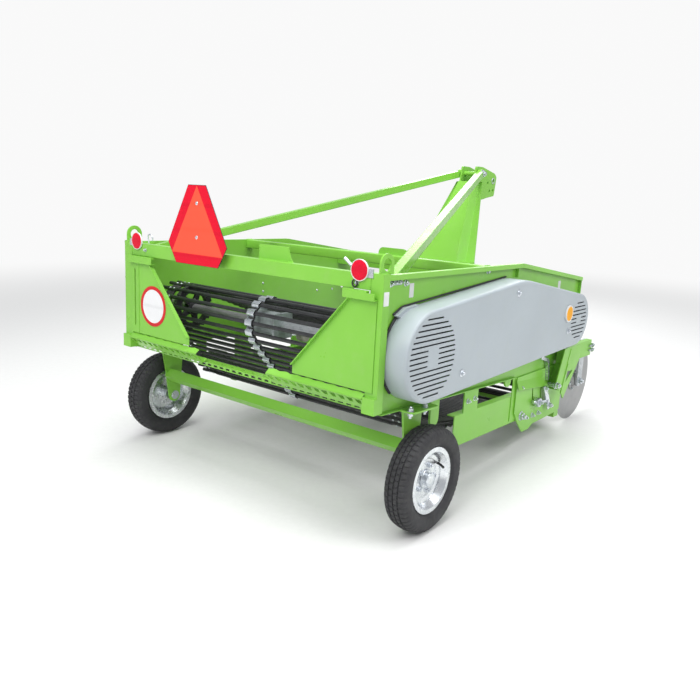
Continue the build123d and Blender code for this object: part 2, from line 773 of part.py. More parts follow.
arm_run = hypot(arm_high[0] - arm_low[0], arm_high[1] - arm_low[1])
arm_turn = degrees(atan2(arm_high[1] - arm_low[1], arm_high[0] - arm_low[0]))
arm_middle = Location(((arm_low[0] + arm_high[0]) / 2, (arm_low[1] + arm_high[1]) / 2, 0), (0, 0, arm_turn))
bar_front_a = disc_a + stem_width / 2
with BuildPart() as disc_arm:
    # Inclined web with its outer flange turned to the rear
    with BuildSketch(side.offset(arm_x)):
        with Locations(arm_middle):
            Rectangle(arm_run, arm_wall)
    extrude(amount=arm_width)
    with BuildSketch(side.offset(arm_x + arm_width - arm_wall)):
        with Locations(arm_middle):
            with Locations((0, flange_deep / 2)):
                Rectangle(arm_run, flange_deep)
        with Locations((arm_high[0], head_top_h + flange_deep / 2)):
            Rectangle(arm_run, flange_deep, mode=Mode.SUBTRACT)
        with BuildLine():
            Polyline(*gusset, close=True)
        make_face()
        with BuildLine():
            Polyline(*gusset_hole, close=True)
        make_face(mode=Mode.SUBTRACT)
    extrude(amount=arm_wall)
    # Head box, open to the front, and the tube out to the stem
    with BuildSketch(side.offset(arm_x)):
        with Locations(((arm_high[0] - head_lap + head_front_a) / 2, (head_low_h + head_top_h) / 2)):
            Rectangle(head_front_a - arm_high[0] + head_lap, head_top_h - head_low_h)
    extrude(amount=arm_width)
    with BuildSketch(side.offset(arm_x + arm_wall)):
        with Locations(((arm_high[0] + head_front_a) / 2 + arm_wall, (head_low_h + head_top_h) / 2)):
            Rectangle(head_front_a - arm_high[0], head_top_h - head_low_h - 2 * arm_wall)
    extrude(amount=arm_width - 2 * arm_wall, mode=Mode.SUBTRACT)
    with BuildSketch(side.offset(arm_x)):
        with Locations(((head_front_a - head_lap + bar_front_a) / 2, (bar_low_h + bar_top_h) / 2)):
            Rectangle(bar_front_a - head_front_a + head_lap, bar_top_h - bar_low_h)
    extrude(amount=bar_width)
    with BuildSketch(side.offset(arm_x + arm_wall)):
        with Locations(((head_front_a - head_lap + bar_front_a) / 2, (bar_low_h + bar_top_h) / 2)):
            Rectangle(bar_front_a - head_front_a + head_lap, bar_top_h - bar_low_h - 2 * arm_wall)
    extrude(amount=bar_width - 2 * arm_wall, mode=Mode.SUBTRACT)
save_pair(disc_arm, "disc_arm")

# Stem down to the disc, with the disc's pin
with BuildPart() as disc_stem:
    with BuildSketch(side.offset(arm_x - stem_thick)):
        with BuildLine():
            Line((disc_a - stem_width / 2, bar_top_h), (disc_a - stem_width / 2, disc_h))
            ThreePointArc((disc_a - stem_width / 2, disc_h), (disc_a, disc_h - stem_width / 2),
                          (disc_a + stem_width / 2, disc_h))
            Line((disc_a + stem_width / 2, disc_h), (disc_a + stem_width / 2, bar_top_h))
            Line((disc_a + stem_width / 2, bar_top_h), (disc_a - stem_width / 2, bar_top_h))
        make_face()
    extrude(amount=stem_thick)
    with BuildSketch(side.offset(disc_x)):
        with Locations((disc_a, disc_h)):
            Circle(pin_radius)
    extrude(amount=arm_x - stem_thick - disc_x)
save_pair(disc_stem, "disc_stem")

disc_place = Plane(origin=at(disc_a, disc_h), x_dir=(1, 0, 0), z_dir=(0, -1, 0))
hub_end_x = arm_x - stem_thick - hub_gap
with BuildPart() as disc:
    with BuildSketch(disc_place):
        with BuildLine():
            Polyline((disc_x - disc_thick / 2, 0), (disc_x - disc_thick / 2, disc_radius - 25),
                     (disc_x, disc_radius), (disc_x + disc_thick / 2, disc_radius - 25),
                     (disc_x + disc_thick / 2, hub_r + 20), (disc_x + disc_thick / 2 + 6, hub_r + 20),
                     (disc_x + disc_thick / 2 + 6, hub_r), (hub_end_x, hub_r - 12),
                     (hub_end_x, pin_radius + pin_play), (disc_x - pin_play, pin_radius + pin_play),
                     (disc_x - pin_play, 0), close=True)
        make_face()
    revolve(axis=Axis(at(disc_a, disc_h), (1, 0, 0)))
save_pair(disc, "coulter_disc")

# ---- Wheel arms, axle beam, tyres and rims ----
wheel_arm_x = 790.0
wheel_arm_thick = 10.0
shelf_thick = 8.0
shelf_rear_a = 90.0
shelf_front_a = 440.0
shelf_out_x = 862.0
arm_top_rear = 150.0
arm_top_front = 410.0
arm_hub_r = 36.0
stub_radius = 15.0
hub_play = 0.05
hub_out = 10.0
axle_beam_a = 255.5
axle_beam_h = axle_h + 121.0
axle_beam_size = 50.0
axle_beam_wall = 4.0

with BuildPart() as wheel_arm:
    with BuildSketch(side.offset(wheel_arm_x)):
        with BuildLine():
            Line((arm_top_rear, belly_h(arm_top_rear) - shelf_thick / 2),
                 (axle_a - arm_hub_r, axle_h))
            ThreePointArc((axle_a - arm_hub_r, axle_h), (axle_a, axle_h - arm_hub_r),
                          (axle_a + arm_hub_r, axle_h))
            Line((axle_a + arm_hub_r, axle_h), (arm_top_front, belly_h(arm_top_front) - shelf_thick / 2))
            Line((arm_top_front, belly_h(arm_top_front) - shelf_thick / 2),
                 (arm_top_rear, belly_h(arm_top_rear) - shelf_thick / 2))
        make_face()
    extrude(amount=wheel_arm_thick)
    with BuildSketch(side.offset(wheel_arm_x)):
        with BuildLine():
            Polyline((shelf_rear_a, belly_h(shelf_rear_a)), (shelf_front_a, belly_h(shelf_front_a)),
                     (shelf_front_a, belly_h(shelf_front_a) - shelf_thick),
                     (shelf_rear_a, belly_h(shelf_rear_a) - shelf_thick), close=True)
        make_face()
    extrude(amount=shelf_out_x - wheel_arm_x)
    with BuildSketch(side.offset(wheel_arm_x)):
        with Locations((axle_a, axle_h)):
            Circle(stub_radius)
    extrude(amount=wheel_x + hub_out - wheel_arm_x)
save_pair(wheel_arm, "wheel_arm")

with BuildPart() as axle_beam:
    with BuildSketch(side.offset(-wheel_arm_x)):
        with Locations((axle_beam_a, axle_beam_h)):
            Rectangle(axle_beam_size, axle_beam_size, rotation=45)
            Rectangle(axle_beam_size - 2 * axle_beam_wall, axle_beam_size - 2 * axle_beam_wall, rotation=45,
                      mode=Mode.SUBTRACT)
    extrude(amount=2 * wheel_arm_x)
save(axle_beam, "axle_beam")

bead_radius = 127.0
flange_radius = 143.0
rim_half = 38.0
rim_sheet = 4.0
well_radius = 108.0
tyre_half = (
    # half width, radius, from the bead to the tread's middle
    (rim_half - run_gap, bead_radius + run_gap), (rim_half - run_gap, flange_radius + 3.0),
    (tyre_width / 2 - 3.0, flange_radius + 17.0), (tyre_width / 2, tyre_radius - 45.0),
    (tyre_width / 2 - 6.0, tyre_radius - 21.0), (tyre_width / 2 - 14.0, tyre_radius - 7.0),
    (tyre_width / 4, tyre_radius),
)
wheel_place = Plane(origin=at(axle_a, axle_h, wheel_x), x_dir=(1, 0, 0), z_dir=(0, -1, 0))
wheel_axis = Axis(at(axle_a, axle_h), (1, 0, 0))
with BuildPart() as tyre:
    with BuildSketch(wheel_place):
        with BuildLine():
            Polyline(*[(-u, v) for u, v in tyre_half], *reversed(tyre_half), close=True)
        make_face()
    revolve(axis=wheel_axis)
save_pair(tyre, "tyre")

disc_out = 8.0             # wheel disc outboard of the tyre's middle
dish_radius = 84.0
well_half = 16.0
well_slope = 8.0
hub_in = 44.0
hub_tube_r = 34.0
cap_r = 27.0
cap_out = 34.0
with BuildPart() as rim:
    with BuildSketch(wheel_place):
        with BuildLine():
            Polyline((-rim_half - rim_sheet, flange_radius), (-rim_half, flange_radius),
                     (-rim_half, bead_radius), (-well_half - well_slope, bead_radius),
                     (-well_half, well_radius), (well_half, well_radius),
                     (well_half + well_slope, bead_radius), (rim_half, bead_radius),
                     (rim_half, flange_radius), (rim_half + rim_sheet, flange_radius),
                     (rim_half + rim_sheet, bead_radius - rim_sheet), (well_half, well_radius - rim_sheet),
                     (disc_out + rim_sheet, well_radius - rim_sheet), (disc_out, dish_radius),
                     (disc_out, cap_r), (cap_out - 8, cap_r), (cap_out, cap_r - 10), (cap_out, 0),
                     (hub_out + 3, 0), (hub_out + 3, stub_radius + hub_play),
                     (-hub_in, stub_radius + hub_play), (-hub_in, hub_tube_r),
                     (disc_out - rim_sheet, hub_tube_r), (disc_out - rim_sheet, dish_radius),
                     (disc_out, well_radius - rim_sheet), (-well_half, well_radius - rim_sheet),
                     (-rim_half - rim_sheet, bead_radius - rim_sheet), close=True)
        make_face()
    revolve(axis=wheel_axis)
save_pair(rim, "rim")

# ---- Gearbox under the front beam, its shafts and shields ----
box_half_x = 95.0
box_rear_a = 1625.0
box_front_a = 1805.0
box_low_h = drive_h - 79.0
box_top_h = drive_h + 89.0
neck_half = 55.0
beam_under_h = front_beam_top - front_beam_size
foot_thick = 14.0
pto_radius = 17.45
pto_long = 90.0
shield_r = 82.0
shield_sheet = 4.0
shield_long = 120.0
cross_tube_r = 38.0
with BuildPart() as gearbox:
    with BuildSketch(side.offset(-box_half_x)):
        with Locations(((box_rear_a + box_front_a) / 2, (box_low_h + box_top_h) / 2)):
            RectangleRounded(box_front_a - box_rear_a, box_top_h - box_low_h, 28)
    extrude(amount=2 * box_half_x)
    with BuildSketch(deck_plane(box_top_h - 20)):
        with Locations((0, front_drive_a - 15)):
            Rectangle(2 * neck_half, 2 * neck_half)
    extrude(amount=beam_under_h - box_top_h + 20)
    with BuildSketch(deck_plane(beam_under_h - foot_thick)):
        with Locations((0, front_drive_a - 15)):
            Rectangle(3 * neck_half, 1.5 * neck_half)
    extrude(amount=foot_thick)
save(gearbox, "gearbox")

front_face = Plane(origin=at(box_front_a, drive_h), x_dir=(-1, 0, 0), z_dir=(0, lean_c, -lean_s))
with BuildPart() as pto_shaft:
    with BuildSketch(front_face):
        Circle(pto_radius)
    extrude(amount=pto_long)
save(pto_shaft, "pto_shaft")

with BuildPart() as pto_shield:
    with BuildSketch(front_face):
        Circle(shield_r)
        Circle(pto_radius + 30, mode=Mode.SUBTRACT)
    extrude(amount=shield_sheet)
    with BuildSketch(front_face):
        Circle(shield_r)
        Circle(shield_r - shield_sheet, mode=Mode.SUBTRACT)
    extrude(amount=shield_long)
save(pto_shield, "pto_shield")

with BuildPart() as cross_shaft:
    with BuildSketch(side.offset(box_half_x)):
        with Locations((front_drive_a, drive_h)):
            Circle(cross_shaft_radius)
    extrude(amount=pulley_x + pulley_thick / 2 - box_half_x)
    with BuildSketch(side.offset(pulley_x - pulley_thick / 2)):
        with Locations((front_drive_a, drive_h)):
            Circle(front_pulley_r)
    extrude(amount=pulley_thick)
save(cross_shaft, "cross_shaft")

with BuildPart() as cross_tube:
    with BuildSketch(side.offset(box_half_x)):
        with Locations((front_drive_a, drive_h)):
            Circle(cross_tube_r)
            Circle(cross_tube_r - tube_wall, mode=Mode.SUBTRACT)
    extrude(amount=in_x - box_half_x)
save(cross_tube, "cross_tube")

# ---- Drive guard on the right panel, with louvres, and the belt inside ----
belt_outer_r = 8.0
guard_in_x = panel_x + 3
guard_rear_r = 188.0
guard_front_r = 142.0
guard_apex = (1009.4, drive_h + 261.5)
guard_corner = (153.0, drive_h + 191.0)
guard_ear = (95.0, drive_h + 164.0)
guard_step = (120.0, drive_h + 156.0)


def touch(point, centre, radius, turn):
    """Where a line from a point touches a circle, on the side that turn (1 or -1) says."""
    away = atan2(centre[1] - point[1], centre[0] - point[0])
    reach = hypot(centre[0] - point[0], centre[1] - point[1])
    lean = away + turn * asin(radius / reach)
    run = sqrt(reach * reach - radius * radius)
    return (point[0] + run * cos(lean), point[1] + run * sin(lean))


def guard_face(inset):
    """Filled outline of the guard, set in by the wall."""
    rear_c = (rear_drive_a, drive_h)
    front_c = (front_drive_a, drive_h)
    rear_r = guard_rear_r - inset
    front_r = guard_front_r - inset
    apex = (guard_apex[0], guard_apex[1] - inset)
    corner = (guard_corner[0] + inset / 2, guard_corner[1] - inset)
    ear = (guard_ear[0] + inset, guard_ear[1] - inset / 2)
    step_in = hypot(guard_step[0] - rear_c[0], guard_step[1] - rear_c[1])
    step = (rear_c[0] + (guard_step[0] - rear_c[0]) * rear_r / step_in,
            rear_c[1] + (guard_step[1] - rear_c[1]) * rear_r / step_in)
    slope = asin((rear_r - front_r) / (front_c[0] - rear_c[0]))
    low_rear = (rear_c[0] - rear_r * sin(-slope), rear_c[1] - rear_r * cos(slope))
    low_front = (front_c[0] + front_r * sin(slope), front_c[1] - front_r * cos(slope))
    high_front = touch(apex, front_c, front_r, 1)
    with BuildSketch() as outline:
        with BuildLine():
            Line(low_rear, low_front)
            ThreePointArc(low_front, (front_c[0] + front_r, front_c[1]), high_front)
            Polyline(high_front, apex, corner, ear, step)
            ThreePointArc(step, (rear_c[0] - rear_r, rear_c[1]), low_rear)
        make_face()
    return outline.sketch


guard_outer = guard_face(0)
guard_inner = guard_face(guard_sheet)
louvre_slot = 6.5
louvre_pitch = 21.0
stud_radius = 9.0
stud_places = ((932.0, drive_h + 204.0), (465.0, drive_h - 101.0), (1580.0, drive_h - 48.0))
louvres = (
    # centre a, radius, half height of the plain middle, its half width
    (rear_drive_a, 168.0, 42.0, 38.0),
    (front_drive_a, 106.0, 30.0, 30.0),
)
with BuildPart() as guard:
    with BuildSketch(side.offset(guard_in_x)):
        add(guard_outer)
    extrude(amount=guard_x - guard_in_x)
    with BuildSketch(side.offset(guard_in_x)):
        add(guard_inner)
    extrude(amount=guard_x - guard_in_x - guard_sheet, mode=Mode.SUBTRACT)
    with BuildSketch(side.offset(guard_x - guard_sheet)):
        for mid_a, reach, plain_high, plain_half in louvres:
            rows = round(2 * reach / louvre_pitch)
            pitch = 2 * reach / rows
            for row in range(rows):
                up = (row - (rows - 1) / 2) * pitch
                half = sqrt(reach * reach - up * up)
                if abs(up) > plain_high:
                    with Locations((mid_a, drive_h + up)):
                        Rectangle(2 * half, louvre_slot)
                else:
                    with Locations((mid_a - (half + plain_half) / 2, drive_h + up),
                                   (mid_a + (half + plain_half) / 2, drive_h + up)):
                        Rectangle(half - plain_half, louvre_slot)
    extrude(amount=guard_sheet, mode=Mode.SUBTRACT)
    # Studs from the panel to the face
    with BuildSketch(side.offset(panel_x)):
        with Locations(*stud_places):
            Circle(stud_radius)
    extrude(amount=guard_x - guard_sheet - panel_x)
save(guard, "drive_guard")


def belt_face(grow):
    """Filled outline of the drive belt round both pulleys."""
    rear_c = (rear_drive_a, drive_h)
    front_c = (front_drive_a, drive_h)
    rear_r = rear_pulley_r + grow
    front_r = front_pulley_r + grow
    slope = asin((rear_r - front_r) / (front_c[0] - rear_c[0]))
    ends = []
    for up in (-1, 1):
        ends.append(((rear_c[0] + rear_r * sin(slope), rear_c[1] + up * rear_r * cos(slope)),
                     (front_c[0] + front_r * sin(slope), front_c[1] + up * front_r * cos(slope))))
    with BuildSketch() as outline:
        with BuildLine():
            Line(*ends[0])
            ThreePointArc(ends[0][1], (front_c[0] + front_r, front_c[1]), ends[1][1])
            Line(*reversed(ends[1]))
            ThreePointArc(ends[1][0], (rear_c[0] - rear_r, rear_c[1]), ends[0][0])
        make_face()
    return outline.sketch


drive_outer = belt_face(belt_outer_r)
drive_inner = belt_face(run_gap)
with BuildPart() as drive_belt:
    with BuildSketch(side.offset(pulley_x - pulley_thick / 2 + 5)):
        add(drive_outer)
        add(drive_inner, mode=Mode.SUBTRACT)
    extrude(amount=pulley_thick - 10)
save(drive_belt, "drive_belt")

# ---- Hitch tower, braces and lower hitch brackets ----
base_plate = 8.0
tower_top_h = 1500.0
tower_sheet = 6.0
ear_x = 44.0
ear_thick = 10.0
crown_low_a = 1668.0
crown_top_a = 1925.0
hat_low_depth = 68.0
hat_top_depth = 50.0
flank_share = 0.41         # sideways run of the hat's flanks to their depth
ear_outline = ((7, -60), (135, -108), (195, -95), (290, -80), (307, 40), (280, 62), (115, 94), (33, 94))
ear_round = 14.0
ear_link = (crown_top_a + 260.0, tower_top_h + 15.0)
ear_spare = [(crown_top_a + a, tower_top_h + h) for a, h in ((225.0, -50.0), (270.0, -45.0), (195.0, 0.0))]
link_radius = 12.9
spare_radius = 9.0
brace_pin = (crown_top_a + 60.0, tower_top_h + 50.0)
brace_pin_r = 14.0
brace_pin_half = 88.0
brace_size = 40.0
brace_wall = 3.0
eye_r = 26.0
eye_from = 56.0
eye_to = 84.0
brace_foot = (118.0, 1052.0)
brace_foot_x = 752.0
foot_pad = 8.0
tower_sections = (
    # h, half width to the brims, over the crown, crown a, depth
    (front_beam_top + base_plate, 216.0, 130.0, crown_low_a, hat_low_depth),
    (tower_top_h, 92.0, 50.0, crown_top_a, hat_top_depth),
)


def hat(brim, crown, crown_a, depth):
    """Hat section, closed, as a list of points."""
    foot = crown + flank_share * depth
    brim_a = crown_a + depth
    outer = [(-brim, brim_a), (-foot, brim_a), (-crown, crown_a), (crown, crown_a), (foot, brim_a),
             (brim, brim_a)]
    wall = tower_sheet
    inner = [(brim, brim_a + wall), (foot - wall, brim_a + wall), (crown - wall, crown_a + wall),
             (wall - crown, crown_a + wall), (wall - foot, brim_a + wall), (-brim, brim_a + wall)]
    return outer + inner


with BuildPart() as tower:
    for level, *section in tower_sections:
        with BuildSketch(deck_plane(level)):
            with BuildLine():
                Polyline(*hat(*section), close=True)
            make_face()
    loft(ruled=True)
    with BuildSketch(deck_plane(front_beam_top)):
        with Locations((0, front_beam_a)):
            Rectangle(2 * tower_sections[0][1], front_beam_size)
    extrude(amount=base_plate)
    for start_x in (-ear_x - ear_thick, ear_x):
        with BuildSketch(side.offset(start_x)) as ear:
            with BuildLine():
                Polyline(*[(crown_top_a + a, tower_top_h + h) for a, h in ear_outline], close=True)
            make_face()
            fillet(ear.vertices(), ear_round)
            with Locations(ear_link):
                Circle(link_radius, mode=Mode.SUBTRACT)
            with Locations(*ear_spare):
                Circle(spare_radius, mode=Mode.SUBTRACT)
        extrude(amount=ear_thick)
    with BuildSketch(side.offset(-brace_pin_half)):
        with Locations(brace_pin):
            Circle(brace_pin_r)
    extrude(amount=2 * brace_pin_half)
save(tower, "hitch_tower")

brace_start = Vector(*at(brace_foot[0], brace_foot[1], brace_foot_x))
brace_end = Vector(*at(brace_pin[0], brace_pin[1], (eye_from + eye_to) / 2))
brace_line = brace_end - brace_start
brace_place = Plane(origin=brace_start, x_dir=brace_line.cross(Vector(0, 0, 1)), z_dir=brace_line)
with BuildPart() as brace:
    with BuildSketch(brace_place):
        Rectangle(brace_size, brace_size)
    extrude(amount=brace_line.length - eye_r)
    with BuildSketch(brace_place):
        Rectangle(brace_size - 2 * brace_wall, brace_size - 2 * brace_wall)
    extrude(amount=brace_line.length - eye_r - brace_size, mode=Mode.SUBTRACT)
    with BuildSketch(brace_place.offset(brace_line.length - eye_r - brace_size / 2)):
        Circle(brace_size * 0.35)
    extrude(amount=eye_r + brace_size / 2)
    # Pad of the foot on the inside of the panel
    with BuildSketch(side.offset(in_x - foot_pad)):
        with Locations(brace_foot):
            Rectangle(2 * brace_size, 1.6 * brace_size)
    extrude(amount=foot_pad)
    with BuildSketch(side.offset(brace_foot_x - brace_size / 2)):
        with Locations(brace_foot):
            Circle(brace_size / 2)
    extrude(amount=in_x - brace_foot_x + brace_size / 2)
    # Eye on the tower's pin
    with BuildSketch(side.offset(eye_from)):
        with Locations(brace_pin):
            Circle(eye_r)
    extrude(amount=eye_to - eye_from)
    with BuildSketch(side.offset(0)):
        with Locations(brace_pin):
            Circle(brace_pin_r + run_gap)
    extrude(amount=2 * brace_pin_half, mode=Mode.SUBTRACT)
    with BuildSketch(side.offset(0)):
        with Locations(brace_pin):
            Circle(3 * eye_r)
    extrude(amount=eye_from, mode=Mode.SUBTRACT)
save_pair(brace, "brace")

hitch_x = 400.0
hitch_thick = 12.0
hitch_pin = (2000.0, 870.0)
hitch_pin_r = 14.2
hitch_pin_long = 118.0
hitch_nose = ((40.0, 34.0), (40.0, -34.0), (-60.0, -44.0))
hitch_top_run = 55.0
beam_face_a = front_beam_a + front_beam_size / 2
with BuildPart() as hitch:
    with BuildSketch(side.offset(hitch_x)) as cheek_sketch:
        with BuildLine():
            Polyline((beam_face_a, beam_under_h), (beam_face_a, front_beam_top),
                     (beam_face_a + hitch_top_run, front_beam_top),
                     *[(hitch_pin[0] + a, hitch_pin[1] + h) for a, h in hitch_nose], close=True)
        make_face()
        fillet(cheek_sketch.vertices().sort_by(Axis.X)[-3:], 20)
    extrude(amount=hitch_thick)
    with BuildSketch(side.offset(hitch_x)):
        with Locations(hitch_pin):
            Circle(hitch_pin_r)
    extrude(amount=hitch_thick + hitch_pin_long)
save_pair(hitch, "hitch_bracket")

# ---- Marker board, reflectors and speed disc ----
marker_points = [(-60.0, 1384.0), (60.0, 1384.0), (203.0, 1122.0), (146.0, marker_low_h),
                 (-146.0, marker_low_h), (-203.0, 1122.0)]
with BuildPart() as marker:
    with BuildSketch(back_plane(-marker_back)):
        with BuildLine():
            Polyline(*[(marker_x + x, h) for x, h in marker_points], close=True)
        make_face()
    extrude(amount=marker_sheet)
save(marker, "marker_board")

reflector_x = 702.0
reflector_h = 1101.0
reflector_r = 42.0
reflector_thick = 10.0
with BuildPart() as reflectors:
    with BuildSketch(back_plane(0)):
        with Locations((-reflector_x, reflector_h), (reflector_x, reflector_h)):
            Circle(reflector_r)
    extrude(amount=reflector_thick)
save(reflectors, "rear_reflectors")

amber_place = (1558.0, drive_h + 49.0)
amber_r = 30.0
with BuildPart() as amber:
    with BuildSketch(side.offset(guard_x)):
        with Locations(amber_place):
            Circle(amber_r)
    extrude(amount=8)
save(amber, "side_reflector")

speed_x = 115.0 - defl_left_x
speed_h = defl_low_h + 151.0
speed_r = 100.0
speed_thick = 1.5
with BuildPart() as speed_disc:
    with BuildSketch(back_plane(-defl_sheet)):
        with Locations((speed_x, speed_h)):
            Circle(speed_r)
    extrude(amount=speed_thick)
save(speed_disc, "speed_disc")
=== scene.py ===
import json
import random
from math import acos, asin, atan2, cos, hypot, pi, radians, sin, sqrt

import bmesh
import bpy
from mathutils import Matrix, Vector
from mathutils.geometry import delaunay_2d_cdt


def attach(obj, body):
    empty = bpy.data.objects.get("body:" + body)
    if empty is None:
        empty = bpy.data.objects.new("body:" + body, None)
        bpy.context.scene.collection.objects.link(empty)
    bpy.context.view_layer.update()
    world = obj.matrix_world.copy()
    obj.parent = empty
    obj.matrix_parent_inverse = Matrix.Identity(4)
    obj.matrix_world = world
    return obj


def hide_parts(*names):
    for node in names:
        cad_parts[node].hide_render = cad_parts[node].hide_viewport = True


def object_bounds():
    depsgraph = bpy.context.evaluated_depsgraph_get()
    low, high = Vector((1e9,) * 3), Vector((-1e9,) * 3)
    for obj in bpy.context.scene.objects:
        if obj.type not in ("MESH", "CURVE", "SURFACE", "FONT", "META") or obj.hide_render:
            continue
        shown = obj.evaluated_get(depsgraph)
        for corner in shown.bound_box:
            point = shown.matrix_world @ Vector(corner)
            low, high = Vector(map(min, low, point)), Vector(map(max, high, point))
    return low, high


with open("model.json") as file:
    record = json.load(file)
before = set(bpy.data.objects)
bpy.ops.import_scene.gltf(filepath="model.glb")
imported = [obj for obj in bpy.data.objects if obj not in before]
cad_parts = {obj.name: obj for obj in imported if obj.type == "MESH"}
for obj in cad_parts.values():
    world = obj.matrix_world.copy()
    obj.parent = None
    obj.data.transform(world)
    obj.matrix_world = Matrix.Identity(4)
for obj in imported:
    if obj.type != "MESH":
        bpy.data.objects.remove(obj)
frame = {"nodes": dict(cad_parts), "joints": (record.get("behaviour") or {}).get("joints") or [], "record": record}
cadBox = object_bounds()
nodes = frame["nodes"]
print("frame loaded,", len(nodes), "nodes")

# Machine frame: x across, a along the sloping frame from the rear posts, h square to it
machine = {"axleA": 0.289, "axleH": 0.238, "discA": 2.131, "discH": 0.3284, "driveA": 0.2284, "driveH": 0.769}
jointPlace = {joint["name"]: Vector(joint["pos_m"]) for joint in frame["joints"]}
axlePlace = jointPlace["wheel_spin_right"]
reach = jointPlace["disc_spin_right"] - axlePlace
tilt = atan2(machine["discH"] - machine["axleH"], machine["discA"] - machine["axleA"]) - atan2(reach.z, reach.y)
turnBack = Matrix.Rotation(-tilt, 4, "X")
axleStart = turnBack @ Vector((0, machine["axleA"], machine["axleH"]))
toWorld = Matrix.Translation(Vector((0, axlePlace.y, axlePlace.z)) - axleStart) @ turnBack

across = Vector((1, 0, 0))
along = Vector((0, 1, 0))
upward = Vector((0, 0, 1))
bothSides = ((1, "Right"), (-1, "Left"))
panelX = 0.792      # outer face of the side panels
panelInX = 0.788

# Node graphs: every call adds to the tree opened last
graph = {}


def put(kind, sockets=None, **settings):
    node = graph["tree"].nodes.new("ShaderNode" + kind)
    for key, value in settings.items():
        setattr(node, key, value)
    for key, value in (sockets or {}).items():
        feed(node.inputs[key], value)
    return node


def feed(socket, value):
    if isinstance(value, bpy.types.NodeSocket):
        graph["tree"].links.new(value, socket)
    else:
        socket.default_value = value


def openFinish(name, **gloss):
    material = bpy.data.materials.new(name)
    material.use_nodes = True
    graph["tree"] = material.node_tree
    graph["shader"] = graph["tree"].nodes["Principled BSDF"]
    for key, value in gloss.items():
        graph["shader"].inputs[key.replace("_", " ")].default_value = value
    graph["place"] = put("TexCoord").outputs["Object"]
    return material


def speckle(scale, detail=4.0, rough=0.55, place=None):
    sockets = {"Vector": place or graph["place"], "Scale": scale, "Detail": detail, "Roughness": rough}
    return put("TexNoise", sockets).outputs["Fac"]


def spread(source, low, high, fromLow=0.3, fromHigh=0.7):
    sockets = {"Value": source, "From Min": fromLow, "From Max": fromHigh, "To Min": low, "To Max": high}
    return put("MapRange", sockets).outputs["Result"]


def blendColours(share, first, second):
    node = put("Mix", data_type="RGBA")
    for place, value in ((0, share), (6, first), (7, second)):
        feed(node.inputs[place], (*value, 1.0) if isinstance(value, tuple) else value)
    return node.outputs[2]


def combine(first, second, operation="MULTIPLY"):
    return put("Math", {0: first, 1: second}, operation=operation).outputs[0]


def edgeShare(radius, breakUp=60.0):
    # 1 along outer and inner edges, broken up by noise; the finishes lighten their colour there, partly for wear and
    # partly as a painted highlight
    rounded = put("Bevel", {"Radius": radius}, samples=4).outputs["Normal"]
    plain = put("NewGeometry").outputs["Normal"]
    facing = put("VectorMath", {0: rounded, 1: plain}, operation="DOT_PRODUCT").outputs["Value"]
    return combine(spread(facing, 1.0, 0.0, 0.75, 0.985), spread(speckle(breakUp), 0.0, 1.0, 0.35, 0.7))


def bumped(height, strength, distance, edgeRadius=0.0):
    sockets = {"Height": height, "Strength": strength, "Distance": distance}
    if edgeRadius:
        sockets["Normal"] = put("Bevel", {"Radius": edgeRadius}, samples=4).outputs["Normal"]
    feed(graph["shader"].inputs["Normal"], put("Bump", sockets).outputs["Normal"])


def dress(tone, roughness=None):
    feed(graph["shader"].inputs["Base Color"], tone)
    if roughness is not None:
        feed(graph["shader"].inputs["Roughness"], roughness)


def scaled(colour, factor):
    return tuple(min(1.0, channel * factor) for channel in colour)


def mottled(colour, dark, light, *noise):
    return blendColours(spread(speckle(*noise), 0.0, 1.0), scaled(colour, dark), scaled(colour, light))


# Finishes
paint = {"green": (0.215, 0.530, 0.058), "guard": (0.388, 0.434, 0.465), "dust": (0.40, 0.44, 0.28),
         "grain": 380.0, "edge": 0.0018}


def sprayPaint(name, colour, roughness, edge=paint["edge"]):
    material = openFinish(name, Coat_Weight=0.16, Coat_Roughness=0.16, Specular_IOR_Level=0.35)
    tone = mottled(colour, 0.93, 1.05, 2.2)
    tone = blendColours(spread(speckle(14.0, 8.0, 0.7), 0.0, 0.10, 0.5, 0.75), tone, paint["dust"])
    # Lighter paint along the edges: partly thinner paint, partly a painted highlight
    tone = blendColours(combine(edgeShare(0.003), 0.35), tone, scaled(colour, 1.5))
    dress(tone, spread(speckle(9.0, 6.0), roughness - 0.07, roughness + 0.09))
    bumped(speckle(paint["grain"], 2.0), 0.10, 0.0006, edge)
    return material


zinc = {"bright": (0.66, 0.68, 0.70), "dull": (0.42, 0.45, 0.47), "cell": 70.0}


def zincCoat(name, roughness, bright=zinc["bright"], dull=zinc["dull"]):
    material = openFinish(name, Metallic=0.92)
    flower = put("TexVoronoi", {"Vector": graph["place"], "Scale": zinc["cell"]}, feature="F1")
    flake = put("SeparateColor", {"Color": flower.outputs["Color"]}).outputs["Red"]
    cloud = speckle(11.0, 7.0, 0.6)
    mixed = combine(spread(flake, 0.0, 0.45, 0.0, 1.0), spread(cloud, 0.0, 0.55), "ADD")
    dress(blendColours(mixed, dull, bright), spread(mixed, roughness + 0.14, roughness - 0.08, 0.0, 1.0))
    bumped(cloud, 0.12, 0.0008, 0.0012)
    return material


def blackCoat(name, roughness, colour=(0.013, 0.013, 0.015)):
    material = openFinish(name, Specular_IOR_Level=0.55)
    tone = mottled(colour, 1.0, 2.1, 26.0, 6.0)
    # Lighter along the edges: partly worn coating, partly a painted highlight
    tone = blendColours(combine(edgeShare(0.003, 90.0), 0.5), tone, (0.20, 0.19, 0.18))
    dress(tone, spread(speckle(40.0, 5.0), roughness - 0.08, roughness + 0.12))
    bumped(speckle(240.0, 3.0), 0.18, 0.0008, 0.0012)
    return material


